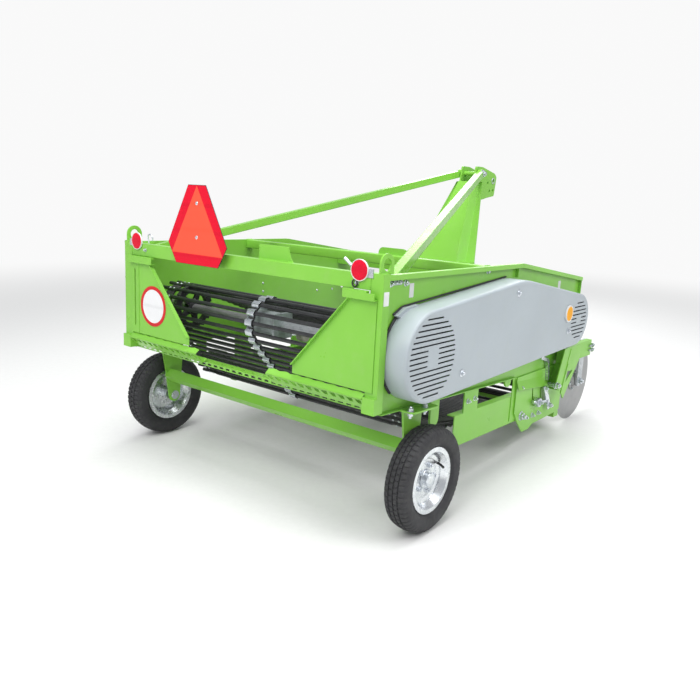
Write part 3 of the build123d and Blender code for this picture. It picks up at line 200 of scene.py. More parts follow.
def roughCasting(name, colour):
    material = openFinish(name, Metallic=0.35, Specular_IOR_Level=0.4)
    tone = mottled(colour, 0.7, 1.2, 18.0, 8.0, 0.7)
    # Lighter along the edges: partly bare edges, partly a painted highlight
    tone = blendColours(combine(edgeShare(0.004), 0.6), tone, scaled(colour, 1.9))
    dress(tone, spread(speckle(30.0, 5.0), 0.45, 0.68))
    bumped(speckle(160.0, 6.0, 0.7), 0.45, 0.0016, 0.003)
    return material


def bladeFinish(name):
    # Rolled steel with fine marks along one way
    material = openFinish(name, Metallic=0.75)
    rolled = put("Mapping", {"Vector": graph["place"], "Scale": (260.0, 3.0, 3.0)}).outputs["Vector"]
    cloud = speckle(7.0, 7.0, 0.62)
    tone = blendColours(spread(cloud, 0.0, 1.0), (0.27, 0.275, 0.28), (0.41, 0.41, 0.41))
    stain = spread(speckle(22.0, 8.0, 0.75), 0.0, 0.35, 0.56, 0.72)
    dress(blendColours(stain, tone, (0.22, 0.16, 0.11)), spread(cloud, 0.36, 0.56))
    bumped(speckle(1.0, 6.0, 0.6, rolled), 0.08, 0.0006, 0.001)
    return material


def rubberFinish(name, colour=(0.022, 0.022, 0.024), roughness=0.62):
    material = openFinish(name, Specular_IOR_Level=0.4)
    dust = spread(speckle(55.0, 7.0, 0.7), 0.0, 0.22, 0.5, 0.8)
    dress(blendColours(dust, mottled(colour, 1.0, 1.7, 8.0, 6.0), (0.13, 0.12, 0.105)),
          spread(speckle(24.0, 5.0), roughness - 0.08, roughness + 0.12))
    bumped(speckle(320.0, 4.0), 0.22, 0.0007, 0.001)
    return material


def mouldedPlastic(name, colour, roughness=0.45):
    material = openFinish(name, Specular_IOR_Level=0.45)
    dress(mottled(colour, 0.85, 1.12, 12.0, 5.0), spread(speckle(45.0, 4.0), roughness - 0.06, roughness + 0.1))
    bumped(speckle(420.0, 3.0), 0.2, 0.0005, 0.001)
    return material


def prismLens(name, colour, cell, glow):
    # Cube-corner prisms seen through a smooth face; the emission is a painted glow for the light the prisms send back
    material = openFinish(name, Coat_Weight=0.08, Coat_Roughness=0.06, Roughness=0.4, Specular_IOR_Level=0.15,
                          Emission_Color=(*colour, 1.0), Emission_Strength=glow)
    sockets = {"Vector": graph["place"], "Scale": cell, "Randomness": 0.15}
    cells = put("TexVoronoi", sockets, feature="F1").outputs["Distance"]
    dress(blendColours(spread(cells, 0.0, 1.0, 0.0, 0.75), scaled(colour, 1.15), scaled(colour, 0.6)))
    bumped(cells, 0.35, 0.0012)
    return material


def signSheet(name, colour, roughness=0.35, glow=0.0):
    # Bonded film: faint honeycomb under a clear top layer; a glow, where given, is painted light
    material = openFinish(name, Coat_Weight=0.04, Coat_Roughness=0.12, Specular_IOR_Level=0.12,
                          Emission_Color=(*colour, 1.0), Emission_Strength=glow)
    sockets = {"Vector": graph["place"], "Scale": 240.0, "Randomness": 0.1}
    seam = spread(put("TexVoronoi", sockets, feature="DISTANCE_TO_EDGE").outputs["Distance"], 0.0, 1.0, 0.0, 0.1)
    tone = blendColours(seam, scaled(colour, 0.86), colour)
    dress(blendColours(spread(speckle(9.0, 5.0), 0.0, 0.12), tone, scaled(colour, 0.75)),
          spread(speckle(30.0, 4.0), roughness - 0.05, roughness + 0.08))
    bumped(seam, 0.05, 0.0004)
    return material


finishes = {
    "green": sprayPaint("limePowderCoat", paint["green"], 0.34),
    "roundedGreen": sprayPaint("roundedGreenPaint", paint["green"], 0.24, 0.0065),
    "guard_grey": sprayPaint("greyGuardPaint", paint["guard"], 0.40),
    "zinc_plank": zincCoat("hotDipZinc", 0.42),
    "brightZinc": zincCoat("brightZinc", 0.26, (0.74, 0.77, 0.81), (0.50, 0.54, 0.59)),
    "rimZinc": zincCoat("rimZinc", 0.24, (0.82, 0.84, 0.86), (0.60, 0.63, 0.66)),
    "black_steel": blackCoat("blackCoatedSteel", 0.34),
    "blade_steel": bladeFinish("rolledBladeSteel"),
    "grey_cast": roughCasting("greyCasting", (0.40, 0.45, 0.45)),
    "black_plastic": mouldedPlastic("blackPlastic", (0.022, 0.022, 0.024)),
    "nylon": mouldedPlastic("naturalNylon", (0.62, 0.60, 0.52), 0.4),
    "tyre_rubber": rubberFinish("tyreRubber"),
    "belt_rubber": rubberFinish("beltRubber", (0.030, 0.030, 0.030), 0.7),
    "marker_red": signSheet("markerBorder", (0.72, 0.006, 0.028), 0.35),
    # The orange middle and both lenses get a small emission: a painted glow, not lamps
    "markerOrange": signSheet("markerMiddle", (0.95, 0.095, 0.050), 0.5, 0.04),
    "lens_red": prismLens("redLens", (0.80, 0.006, 0.034), 190.0, 0.08),
    "lens_amber": prismLens("amberLens", (0.98, 0.40, 0.0), 190.0, 0.10),
    "disc_white": signSheet("whiteSignFilm", (0.80, 0.80, 0.81)),
    "ringRed": signSheet("redRingFilm", (0.62, 0.025, 0.030)),
    "pale": mouldedPlastic("paleLabel", (0.72, 0.73, 0.72), 0.4),
}
print("finishes made,", len(finishes))

otherFinish = {"rim_left": "rimZinc", "rim_right": "rimZinc", "brace_left": "roundedGreen",
               "brace_right": "roundedGreen"}
for part in frame["record"]["subparts"]:
    materials = nodes[part["node"]].data.materials
    materials.clear()
    materials.append(finishes[otherFinish.get(part["node"], part["material_slot"])])
print("CAD nodes finished")


# Mesh building, in the machine frame
def addObject(label, data):
    piece = bpy.data.objects.new(label, data)
    bpy.context.scene.collection.objects.link(piece)
    return piece


def newPiece(shape, label, body, slotName, *looks, sharp=38.0, replaces=""):
    bmesh.ops.recalc_face_normals(shape, faces=shape.faces)
    shape.transform(toWorld)
    mesh = bpy.data.meshes.new(label)
    shape.to_mesh(mesh)
    shape.free()
    for look in looks:
        mesh.materials.append(finishes[look])
    mesh.shade_smooth()
    mesh.set_sharp_from_angle(angle=radians(sharp))
    piece = addObject(label, mesh)
    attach(piece, body)
    if replaces:
        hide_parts(replaces)


def zincPiece(shape, label, body="frame"):
    newPiece(shape, label, body, "zinc_plank", "brightZinc")


def greenPiece(shape, label, *looks, **extras):
    newPiece(shape, label, "frame", "green", "green", *looks, **extras)


def squareTo(axis):
    axis = Vector(axis).normalized()
    first = axis.cross(upward if abs(axis.z) < 0.9 else along).normalized()
    return axis, first, axis.cross(first)


def circle(first, second, sides):
    # Points of a round section, spanned by two directions
    turns = [2 * pi * i / sides for i in range(sides)]
    return [cos(turn) * first + sin(turn) * second for turn in turns]


def spokeAt(turn):
    return Vector((0, cos(turn), sin(turn)))


def arc(centre, radius, start, end, steps):
    # Points (a, h) on an arc, its ends in radians
    turns = [start + (end - start) * step / steps for step in range(steps + 1)]
    return [(centre[0] + radius * cos(turn), centre[1] + radius * sin(turn)) for turn in turns]


def skin(shape, rings, look=0, closed=False):
    # Faces between equal rings, with end caps unless the last ring joins the first
    rows = [[shape.verts.new(point) for point in ring] for ring in rings]
    count = len(rows[0])
    for low, high in zip(rows, rows[1:] + rows[:1] if closed else rows[1:]):
        for i in range(count):
            k = (i + 1) % count
            shape.faces.new((low[i], low[k], high[k], high[i])).material_index = look
    if not closed:
        shape.faces.new(rows[0][::-1]).material_index = look
        shape.faces.new(rows[-1]).material_index = look


def lathe(shape, centre, axis, profile, sides=24, look=0, closed=False):
    # Turned shape, its profile given as step along the axis and radius
    axis, first, second = squareTo(axis)
    spokes = circle(first, second, sides)
    rings = [[Vector(centre) + axis * step + spoke * radius for spoke in spokes] for step, radius in profile]
    skin(shape, rings, look, closed)


def rod(shape, centre, axis, radius, long, sides=24, look=0):
    lathe(shape, centre, axis, ((0, radius), (long, radius)), sides, look)


def bar(shape, path, radius, sides=10, look=0, closed=False):
    # Round bar along a path
    path = [Vector(point) for point in path]
    rings = []
    lead = None
    count = len(path)
    for i, point in enumerate(path):
        before = path[i - 1] if i or closed else point
        after = path[(i + 1) % count] if i < count - 1 or closed else point
        run = (after - before).normalized()
        lead = squareTo(run)[1] if lead is None else (lead - run * lead.dot(run)).normalized()
        rings.append([point + radius * spoke for spoke in circle(lead, run.cross(lead), sides)])
    skin(shape, rings, look, closed)


def slab(shape, outline, lift, look=0, bevel=0.0):
    # Flat plate from its outline, thickened by the vector lift, with a small bevel on the far face
    lift = Vector(lift)
    outline = [Vector(point) for point in outline]
    rings = [outline]
    if bevel:
        middle = sum(outline, Vector()) / len(outline)
        share = 1 - bevel / lift.length
        rings.append([point + lift * share for point in outline])
        rings.append([middle + (point - middle) * (1 - bevel / (point - middle).length) + lift for point in outline])
    else:
        rings.append([point + lift for point in outline])
    skin(shape, rings, look)


def plate(shape, x, outline, thick, bevel=0.0008):
    slab(shape, [(x, a, h) for a, h in outline], (thick, 0, 0), 0, bevel)


def hexHead(shape, place, axis, flats, high, look=0, washer=0.0, stub=0.0):
    axis, first, second = squareTo(axis)
    base = Vector(place)
    if washer:
        lathe(shape, base, axis, ((0, washer), (0.0016, washer), (0.0020, washer - 0.0006)), 20, look)
        base = base + axis * 0.0020
    rings = [[], [], []]
    for i in range(24):
        turn = 2 * pi * i / 24
        corner = flats / 2 / cos((turn + pi / 6) % (pi / 3) - pi / 6)
        spoke = cos(turn) * first + sin(turn) * second
        rings[0].append(base + spoke * corner)
        rings[1].append(base + spoke * corner + axis * (high - (corner - flats / 2) * 0.7 - 0.0004))
        rings[2].append(base + spoke * flats * 0.47 + axis * high)
    skin(shape, rings, look)
    if stub:
        profile = ((0, flats * 0.31), (stub - 0.001, flats * 0.31), (stub, flats * 0.25))
        lathe(shape, base + axis * high, axis, profile, 14, look)


def hexHeads(shape, axis, x, rows):
    # Bolt heads on the plane x, each as (a, h, flats, high, washer, stub)
    for a, h, flats, high, washer, stub in rows:
        hexHead(shape, (x, a, h), axis, flats, high, 0, washer, stub)


def ribPath(start, end, steps):
    return [Vector(start).lerp(Vector(end), i / steps) for i in range(steps + 1)]


def weldBead(shape, start, end, size, seed):
    # Short overlapping scales of a hand-laid bead
    chance = random.Random(seed)
    length = (Vector(end) - Vector(start)).length
    steps = max(6, int(length / (size * 0.55)))
    path = ribPath(start, end, steps)
    axis, first, second = squareTo(path[-1] - path[0])
    rings = []
    for i, point in enumerate(path):
        swell = size * (0.82 + 0.26 * (i % 2) + chance.uniform(-0.08, 0.08))
        swell *= 0.55 if i in (0, steps) else 1.0
        rings.append([point + swell * spoke for spoke in circle(first, second, 8)])
    skin(shape, rings)


def eased(line, cut, steps=4):
    # Corners of a line rounded off, keeping its ends
    line = [Vector(point) for point in line]
    smooth = [line[0]]
    for before, corner, after in zip(line, line[1:], line[2:]):
        start = corner + (before - corner).normalized() * cut
        end = corner + (after - corner).normalized() * cut
        for step in range(steps + 1):
            share = step / steps
            smooth.append(start.lerp(corner, share).lerp(corner.lerp(end, share), share))
    return smooth + [line[-1]]


def strap(shape, x, line, wide, thick):
    # Flat bar bent along a line in the side plane, its width across the machine
    rings = []
    for i, here in enumerate(line):
        runOut = line[min(i + 1, len(line) - 1)] - here
        runIn = here - line[max(i - 1, 0)]
        run = (runIn.normalized() + runOut.normalized()).normalized()
        square = Vector((-run.y, run.x)) * thick / 2
        low, high = here - square, here + square
        rings.append([(x - wide / 2, *low), (x - wide / 2, *high), (x + wide / 2, *high), (x + wide / 2, *low)])
    skin(shape, rings)


def roundedBox(a1, a2, h1, h2, corner=0.004):
    points = []
    for a, h, turn in ((a2 - corner, h2 - corner, 0), (a1 + corner, h2 - corner, 1), (a1 + corner, h1 + corner, 2),
                       (a2 - corner, h1 + corner, 3)):
        points += arc((a, h), corner, pi / 2 * turn, pi / 2 * (turn + 1), 3)
    return points


# Stage and light
stageSet = {"floor": (0.80, 0.80, 0.79), "near": 3.2, "far": 9.0, "half": 60.0, "sky": 0.95, "skyLight": 0.52,
            "lamps": (("keyLamp", (0.5, -3.9, 4.0), 3.8, 155), ("overheadLamp", (0.6, -0.4, 5.6), 4.2, 200),
                      ("sideLamp", (4.6, 0.6, 3.8), 3.0, 100), ("frontLamp", (-2.0, 4.6, 3.2), 3.0, 90))}
white = (1, 1, 1, 1)


def rayShare(*kinds):
    path = put("LightPath")
    share = path.outputs[kinds[0]]
    for kind in kinds[1:]:
        share = combine(share, path.outputs[kind], "MAXIMUM")
    return share


def makeStage():
    mesh = bpy.data.meshes.new("floor")
    half, low = stageSet["half"], cadBox[0][2]
    corners = [(-half, -half, low), (half, -half, low), (half, half, low), (-half, half, low)]
    mesh.from_pydata(corners, [], [(0, 1, 2, 3)])
    floor = addObject("floor", mesh)
    material = bpy.data.materials.new("paleFloor")
    material.use_nodes = True
    graph["tree"] = material.node_tree
    graph["tree"].nodes.clear()
    graph["place"] = put("TexCoord").outputs["Object"]
    matte = put("BsdfDiffuse", {"Color": mottled(stageSet["floor"], 0.97, 1.0, 30.0, 6.0)})
    glow = put("Emission", {"Color": white, "Strength": stageSet["sky"]})
    distance = put("VectorMath", {0: graph["place"]}, operation="LENGTH").outputs["Value"]
    share = put("MapRange", {"Value": distance, "From Min": stageSet["near"], "From Max": stageSet["far"]},
                interpolation_type="SMOOTHSTEP").outputs["Result"]
    seen = rayShare("Is Camera Ray", "Is Glossy Ray", "Is Transmission Ray")
    mixed = put("MixShader", {0: combine(share, seen), 1: matte.outputs[0], 2: glow.outputs[0]})
    finish = put("OutputMaterial", {"Surface": mixed.outputs[0]})
    finish.is_active_output = True
    mesh.materials.append(material)


def makeWorld():
    world = bpy.data.worlds.new("studio")
    bpy.context.scene.world = world
    world.use_nodes = True
    graph["tree"] = world.node_tree
    graph["tree"].nodes.clear()
    lighting = put("Background", {"Color": (0.95, 0.97, 1.0, 1), "Strength": stageSet["skyLight"]})
    shown = put("Background", {"Color": white, "Strength": stageSet["sky"]})
    sockets = {0: rayShare("Is Camera Ray", "Is Transmission Ray"), 1: lighting.outputs[0], 2: shown.outputs[0]}
    put("OutputWorld", {"Surface": put("MixShader", sockets).outputs[0]})


def makeLamp(label, place, size, power):
    data = bpy.data.lights.new(label, "AREA")
    data.shape = "DISK"
    data.size = size
    data.energy = power
    aim = (Vector((0, 0, 0.5)) - Vector(place)).to_track_quat("-Z", "Y")
    addObject(label, data).matrix_world = Matrix.Translation(place) @ aim.to_matrix().to_4x4()


# Camera
cameraSet = {"fromAxle": (2.338, -2.347957, 1.2155), "yaw": 38.72, "pitch": -13.80, "roll": 1.637, "lens": 36.52}


def makeCamera():
    yaw, pitch, roll = (radians(cameraSet[key]) for key in ("yaw", "pitch", "roll"))
    ahead = Vector((-sin(yaw) * cos(pitch), cos(yaw) * cos(pitch), sin(pitch)))
    level = Vector((cos(yaw), sin(yaw), 0))
    up = level.cross(ahead)
    right = cos(roll) * level + sin(roll) * up
    top = -sin(roll) * level + cos(roll) * up
    data = bpy.data.cameras.new("camera")
    data.lens = cameraSet["lens"]
    camera = addObject("camera", data)
    turn = Matrix((right, top, -ahead)).transposed().to_4x4()
    place = Vector((0, axlePlace.y, axlePlace.z)) + Vector(cameraSet["fromAxle"])
    camera.matrix_world = Matrix.Translation(place) @ turn
    bpy.context.scene.camera = camera


makeStage()
makeWorld()
for lamp in stageSet["lamps"]:
    makeLamp(*lamp)
makeCamera()
bpy.context.scene.view_settings.view_transform = "Standard"
print("stage, lamps and camera set")


# Tyres: three grooves round the tread, staggered blocks between them
tyreSet = {"radius": 0.2275, "middle": 0.869, "crownDrop": 4.3, "blocks": 56, "stepsPerBlock": 8,
           "groove": 0.0055, "sipe": 0.0042, "shoulder": 0.0032, "line": 0.0006, "grooves": (-0.020, 0.003, 0.024)}


def tyreSection():
    # Half section from the bead to the shoulder, as distance from the middle and radius
    low = [(0.0377, 0.1273), (0.0377, 0.1400), (0.0386, 0.1452), (0.0430, 0.1500), (0.0472, 0.1530), (0.0506, 0.1562),
           (0.0531, 0.1610), (0.0548, 0.1680), (0.0557, 0.1740), (0.0560, 0.1825), (0.0558, 0.1890), (0.0551, 0.1960),
           (0.0540, 0.2010), (0.0528, 0.2050), (0.0510, 0.2090), (0.0486, 0.2130), (0.0460, 0.2165), (0.0436, 0.2192)]
    crown = [0.0405, 0.0375, 0.0345, 0.0315, 0.0285]
    for offset in tyreSet["grooves"]:
        crown += [offset + step for step in (0.0034, 0.0024, 0, -0.0024, -0.0034)]
    crown = [u for u in crown if abs(u) < 0.041]
    crown = set(crown + [-u for u in crown] + [-0.012, -0.008, 0.010, 0.014, 0.0175, -0.0275, -0.031])
    top = [(u, tyreSet["radius"] - tyreSet["crownDrop"] * u * u) for u in sorted(crown, reverse=True)]
    return low + top + [(-u, r) for u, r in reversed(low)]


def treadDepth(u, radius, i, steps):
    # How far the surface lies in at one point of the section and one step of the turn
    rib = sum(u > middle for middle in tyreSet["grooves"])
    depth = 0.0
    if radius > 0.2190:
        if min(abs(u - middle) for middle in tyreSet["grooves"]) < 0.0027:
            depth = tyreSet["groove"]
        if (i + 4 * (rib % 2)) % steps in (0, 1):
            depth = max(depth, tyreSet["sipe"])
    elif radius > 0.2045 and (i + 4) % steps in (0, 1, 2):
        depth = tyreSet["shoulder"]
    elif 0.172 < radius < 0.176 or 0.195 < radius < 0.198:
        depth = -tyreSet["line"]
    return depth


def makeTyre(hand, side):
    steps = tyreSet["stepsPerBlock"]
    count = tyreSet["blocks"] * steps
    section = tyreSection()
    shape = bmesh.new()
    rings = []
    for i in range(count):
        turn = 2 * pi * i / count
        deep = [(u, radius - treadDepth(u, radius, i, steps)) for u, radius in section]
        rings.append([(hand * (tyreSet["middle"] + u), machine["axleA"] + radius * sin(turn),
                       machine["axleH"] + radius * cos(turn)) for u, radius in deep])
    skin(shape, rings, 0, True)
    newPiece(shape, "tyreTreaded" + side, "wheel_" + side.lower(), "tyre_rubber", "tyre_rubber", sharp=32,
             replaces="tyre_" + side.lower())


# Wheel bolts, valve and cap on each rim
rimSet = {"face": 0.012, "pitch": 0.058, "bolts": 5, "capOut": 0.034, "valve": 0.098, "valveTurn": -62}


def makeRimFittings(hand, side):
    shape = bmesh.new()
    out = across * hand
    middle = Vector((hand * (tyreSet["middle"] + rimSet["face"]), machine["axleA"], machine["axleH"]))
    for i in range(rimSet["bolts"]):
        turn = radians(20 + 360 / rimSet["bolts"] * i)
        place = middle + Vector((0, sin(turn), cos(turn))) * rimSet["pitch"] - out * 0.004
        hexHead(shape, place, out, 0.019, 0.011, 0, 0.0125, 0.006)
    cap = middle + out * (rimSet["capOut"] - rimSet["face"])
    lathe(shape, cap - out * 0.006, out, ((0, 0.0302), (0.003, 0.0302), (0.005, 0.0285), (0.0054, 0.024)), 40)
    lathe(shape, middle - out * 0.003, out, ((0, 0.041), (0.0035, 0.041), (0.005, 0.0395), (0.005, 0.028)), 40)
    zincPiece(shape, "wheelBolts" + side, "wheel_" + side.lower())
    shape = bmesh.new()
    turn = radians(rimSet["valveTurn"])
    spoke = Vector((0, -sin(turn), cos(turn)))
    root = middle + spoke * rimSet["valve"] - out * 0.006
    bend = ((0, 0), (0.012, 0.002), (0.026, 0.007), (0.034, 0.011))
    stem = [root + out * step - spoke * lean for step, lean in bend]
    bar(shape, stem, 0.0052, 12)
    lathe(shape, stem[-1], out - spoke * 0.45, ((0, 0.0058), (0.007, 0.0058), (0.009, 0.0045)), 14)
    newPiece(shape, "tyreValve" + side, "wheel_" + side.lower(), "tyre_rubber", "tyre_rubber")


for hand, side in bothSides:
    makeTyre(hand, side)
    makeRimFittings(hand, side)
print("tyres and wheel fittings made")


# Rod web: round coated rods riveted to three belts, each belt as its middle and width
webSet = {"pitch": 0.0473, "teeth": 15, "rod": 0.0095, "pressed": 0.0065, "half": 0.712,
          "belts": ((-0.64, 0.060), (-0.014, 0.036), (0.64, 0.060)), "beltThick": 0.010, "inset": 0.0105,
          "low": (0.470, 0.436, 0.070), "front": (1.706, 0.262, 0.072)}
drive = (machine["driveA"], machine["driveH"])
pitchR = webSet["teeth"] * webSet["pitch"] / (2 * pi)


def webRuns(grow):
    # Straight runs and turns of the loop, each as start, end and centre, with its radius
    wheels = [(a, h, radius + grow) for a, h, radius in ((*drive, pitchR), webSet["low"], webSet["front"])]
    runs = []
    for (a1, h1, r1), (a2, h2, r2) in zip(wheels, wheels[1:] + wheels[:1]):
        square = atan2(h2 - h1, a2 - a1) - pi / 2 + asin((r1 - r2) / hypot(a2 - a1, h2 - h1))
        runs.append(((a1 + r1 * cos(square), h1 + r1 * sin(square)), (a2 + r2 * cos(square), h2 + r2 * sin(square)),
                     (a2, h2), r2))
    return runs


def webPlaces(count=0):
    # Even places on the pitch line: (a, h, heading); as many as the pitch gives unless told
    pieces = []
    runs = webRuns(0.0)
    for i, (start, end, centre, radius) in enumerate(runs):
        following = runs[(i + 1) % 3][0]
        pieces.append(("run", start, end, hypot(end[0] - start[0], end[1] - start[1])))
        turnIn = atan2(end[1] - centre[1], end[0] - centre[0])
        turn = (atan2(following[1] - centre[1], following[0] - centre[0]) - turnIn) % (2 * pi)
        pieces.append(("turn", centre, (radius, turnIn), radius * turn))
    total = sum(piece[3] for piece in pieces)
    count = count or round(total / webSet["pitch"])
    places = []
    for k in range(count):
        left = k * total / count
        for kind, first, second, length in pieces:
            if left <= length:
                break
            left -= length
        if kind == "run":
            share, ahead, rise = left / length, second[0] - first[0], second[1] - first[1]
            places.append((first[0] + share * ahead, first[1] + share * rise, atan2(rise, ahead)))
        else:
            angle = second[1] + left / second[0]
            places.append((first[0] + second[0] * cos(angle), first[1] + second[0] * sin(angle), angle + pi / 2))
    return places


def outOf(heading):
    return Vector((0, sin(heading), -cos(heading)))


rods = webPlaces()


def makeWeb():
    shape = bmesh.new()
    flat, thin, inset = webSet["pressed"], webSet["rod"], webSet["inset"]
    stations = [(-webSet["half"], 0.0)]
    for belt, wide in webSet["belts"]:
        edge = wide / 2
        stations += [(belt - edge - 0.014, 0.0), (belt - edge - 0.002, 1.0), (belt + edge + 0.002, 1.0),
                     (belt + edge + 0.014, 0.0)]
    stations.append((webSet["half"], 0.0))
    for a, h, heading in rods:
        run, out = spokeAt(heading), outOf(heading)
        rings = [[Vector((x, a, h)) + spoke for spoke in
                  circle(run * thin * (1 + 0.45 * pressed), out * (thin * (1 - pressed) + flat * pressed), 12)]
                 for x, pressed in stations]
        skin(shape, rings)
        for belt, shift in ((belt, shift) for belt in (-0.64, 0.64) for shift in (-0.016, 0.016)):
            spot = Vector((belt + shift, a, h)) + out * (flat - 0.001)
            lathe(shape, spot, out, ((0, 0.0062), (0.0018, 0.0058), (0.0034, 0.0036), (0.0040, 0.0012)), 10, 1)
    top, low, cut = webSet["beltThick"] - inset, -inset, 0.002
    fine = webPlaces(420)
    for belt, wide in webSet["belts"]:
        half = wide / 2
        section = ((top, -half + cut), (top - cut, -half), (low + cut, -half), (low, -half + cut),
                   (low, half - cut), (low + cut, half), (top - cut, half), (top, half - cut))
        rings = [[Vector((belt, a, h)) + outOf(heading) * lift + across * slide for lift, slide in section]
                 for a, h, heading in fine]
        skin(shape, rings, 2, True)
    newPiece(shape, "rodWebRound", "frame", "black_steel", "black_steel", "brightZinc", "belt_rubber",
             replaces="rod_web")


# Folded clips that join the middle belt
clipSet = {"x": -0.014, "half": 0.022, "reach": 0.0150, "rise": 0.0120, "thick": 0.0018}


def makeClips(x, half, reach, rise, thick):
    shape = bmesh.new()
    fold = eased([(reach + 0.004, -0.001), (reach, rise * 0.55), (reach * 0.72, rise), (-reach * 0.72, rise),
                  (-reach, rise * 0.55), (-reach - 0.004, -0.001)], 0.003, 2)
    section = ((-half, 0), (half, 0), (half, thick), (-half, thick))
    for a, h, heading in rods:
        run, out = spokeAt(heading), outOf(heading)
        skin(shape, [[Vector((x + slide, a, h)) + run * u + out * (v + lift) for slide, lift in section]
                     for u, v in fold])
    newPiece(shape, "webClipsFolded", "frame", "zinc_plank", "brightZinc", sharp=50, replaces="web_clips")


makeWeb()
makeClips(**clipSet)
print("rod web made,", len(rods), "rods")


# Rubber edging and fasteners of the drive guard
guardSet = {"face": 0.908, "rearR": 0.188, "edging": 0.0042, "line": ((1.0094, 1.0305), (0.153, 0.960), (0.095, 0.933)),
            "turns": (124.8, 229.0), "studs": ((0.932, 0.973), (0.465, 0.668), (1.580, 0.721))}


def makeGuardFittings(face, rearR, edging, line, turns, studs):
    shape = bmesh.new()
    x = panelX + edging
    bar(shape, eased([(x, a, h + 0.002) for a, h in line], 0.014), edging, 8)
    bend = arc(drive, rearR + 0.004, *map(radians, turns), 40)
    bar(shape, [(x + 0.002, *point) for point in bend], edging * 1.25)
    newPiece(shape, "guardEdging", "frame", "black_plastic", "tyre_rubber")
    shape = bmesh.new()
    for a, h in studs:
        lathe(shape, (face, a, h), across, ((0, 0.0175), (0.0016, 0.0175), (0.0022, 0.0165)), 28)
        hexHead(shape, (face + 0.0022, a, h), across, 0.019, 0.0075, stub=0.004)
    zincPiece(shape, "guardStuds")


# Marker board: black backing, red border with ribs, orange middle
markerSet = {"x": -0.208, "back": -0.034, "film": 0.0004, "base": 0.0021,
             "outline": ((-0.060, 1.384), (0.060, 1.384), (0.203, 1.122), (0.146, 1.030), (-0.146, 1.030),
                         (-0.203, 1.122)),
             "middle": ((0.0, 1.3805), (0.176, 1.078), (-0.176, 1.078)), "bolts": (1.304, 1.154),
             "stripes": ((1.0335, 1.0465), (1.0485, 1.0600), (1.0620, 1.0745)), "ribs": 14}


def makeMarker(x, back, film, base, outline, middle, bolts, stripes, ribs):
    shape = bmesh.new()
    front = back - base - film

    def layer(points, start, thick, look, shrink=0.0):
        centre = Vector((0, sum(h for _, h in points) / len(points)))
        rim = []
        for point in points:
            away = Vector(point) - centre
            spot = centre + away * (1 - shrink / away.length)
            rim.append((x + spot.x, start, spot.y))
        slab(shape, rim, along * -thick, look)

    layer(outline, back, base, 0)
    layer(outline, back - base, film, 1, 0.0022)
    layer(middle, front, 0.00035, 2)
    for low, high in stripes:
        reachLow, reachHigh = (0.143 + 0.62 * (h - 1.030) for h in (low, high))
        layer(((-reachLow, low), (reachLow, low), (reachHigh, high), (-reachHigh, high)), front, 0.0003, 1)
    for rib in range(ribs):
        # Pressed ribs across the slanting borders
        h = 1.100 + rib * 0.0195
        outer = min(0.203 - 0.5458 * (h - 1.122), 0.203 - 0.62 * (1.122 - h)) - 0.004
        inner = 0.176 - 0.5818 * (h - 1.078) + 0.003
        for hand in (-1, 1):
            layer(((hand * inner, h), (hand * outer, h), (hand * (outer - 0.0055), h + 0.011),
                   (hand * (inner - 0.0055), h + 0.011)), front, 0.00025, 1)
    for h in bolts:
        profile = ((0, 0.0085), (0.0010, 0.0085), (0.0022, 0.0068), (0.0030, 0.0040), (0.0031, 0.001))
        lathe(shape, (x, front - 0.0003, h), -along, profile, 20, 3)
        hexHead(shape, (x, back + 0.006, h), along, 0.010, 0.005, 3, 0.008, 0.004)
    newPiece(shape, "markerBoardFilmed", "frame", "marker_red", "black_plastic", "marker_red", "markerOrange",
             "brightZinc", replaces="marker_board")


# Round reflectors with pale rims, and the clips beside them
reflectorSet = {"x": 0.702, "h": 1.101, "radius": 0.042, "thick": 0.010, "clip": (0.730, 0.765, 1.076, 1.110),
                "wire": ((-0.604, -0.004, 1.098), (-0.604, -0.012, 1.124), (-0.594, -0.014, 1.140),
                         (-0.572, -0.014, 1.140), (-0.564, -0.012, 1.122), (-0.574, -0.008, 1.112)),
                "ring": (0.682, 1.050), "lips": ((0.637, 0.7525), (-0.7525, -0.565))}


def uprightSlab(shape, x1, x2, h1, h2, a, lift):
    slab(shape, [(x1, a, h1), (x2, a, h1), (x2, a, h2), (x1, a, h2)], (0, lift, 0), 0, 0.001)


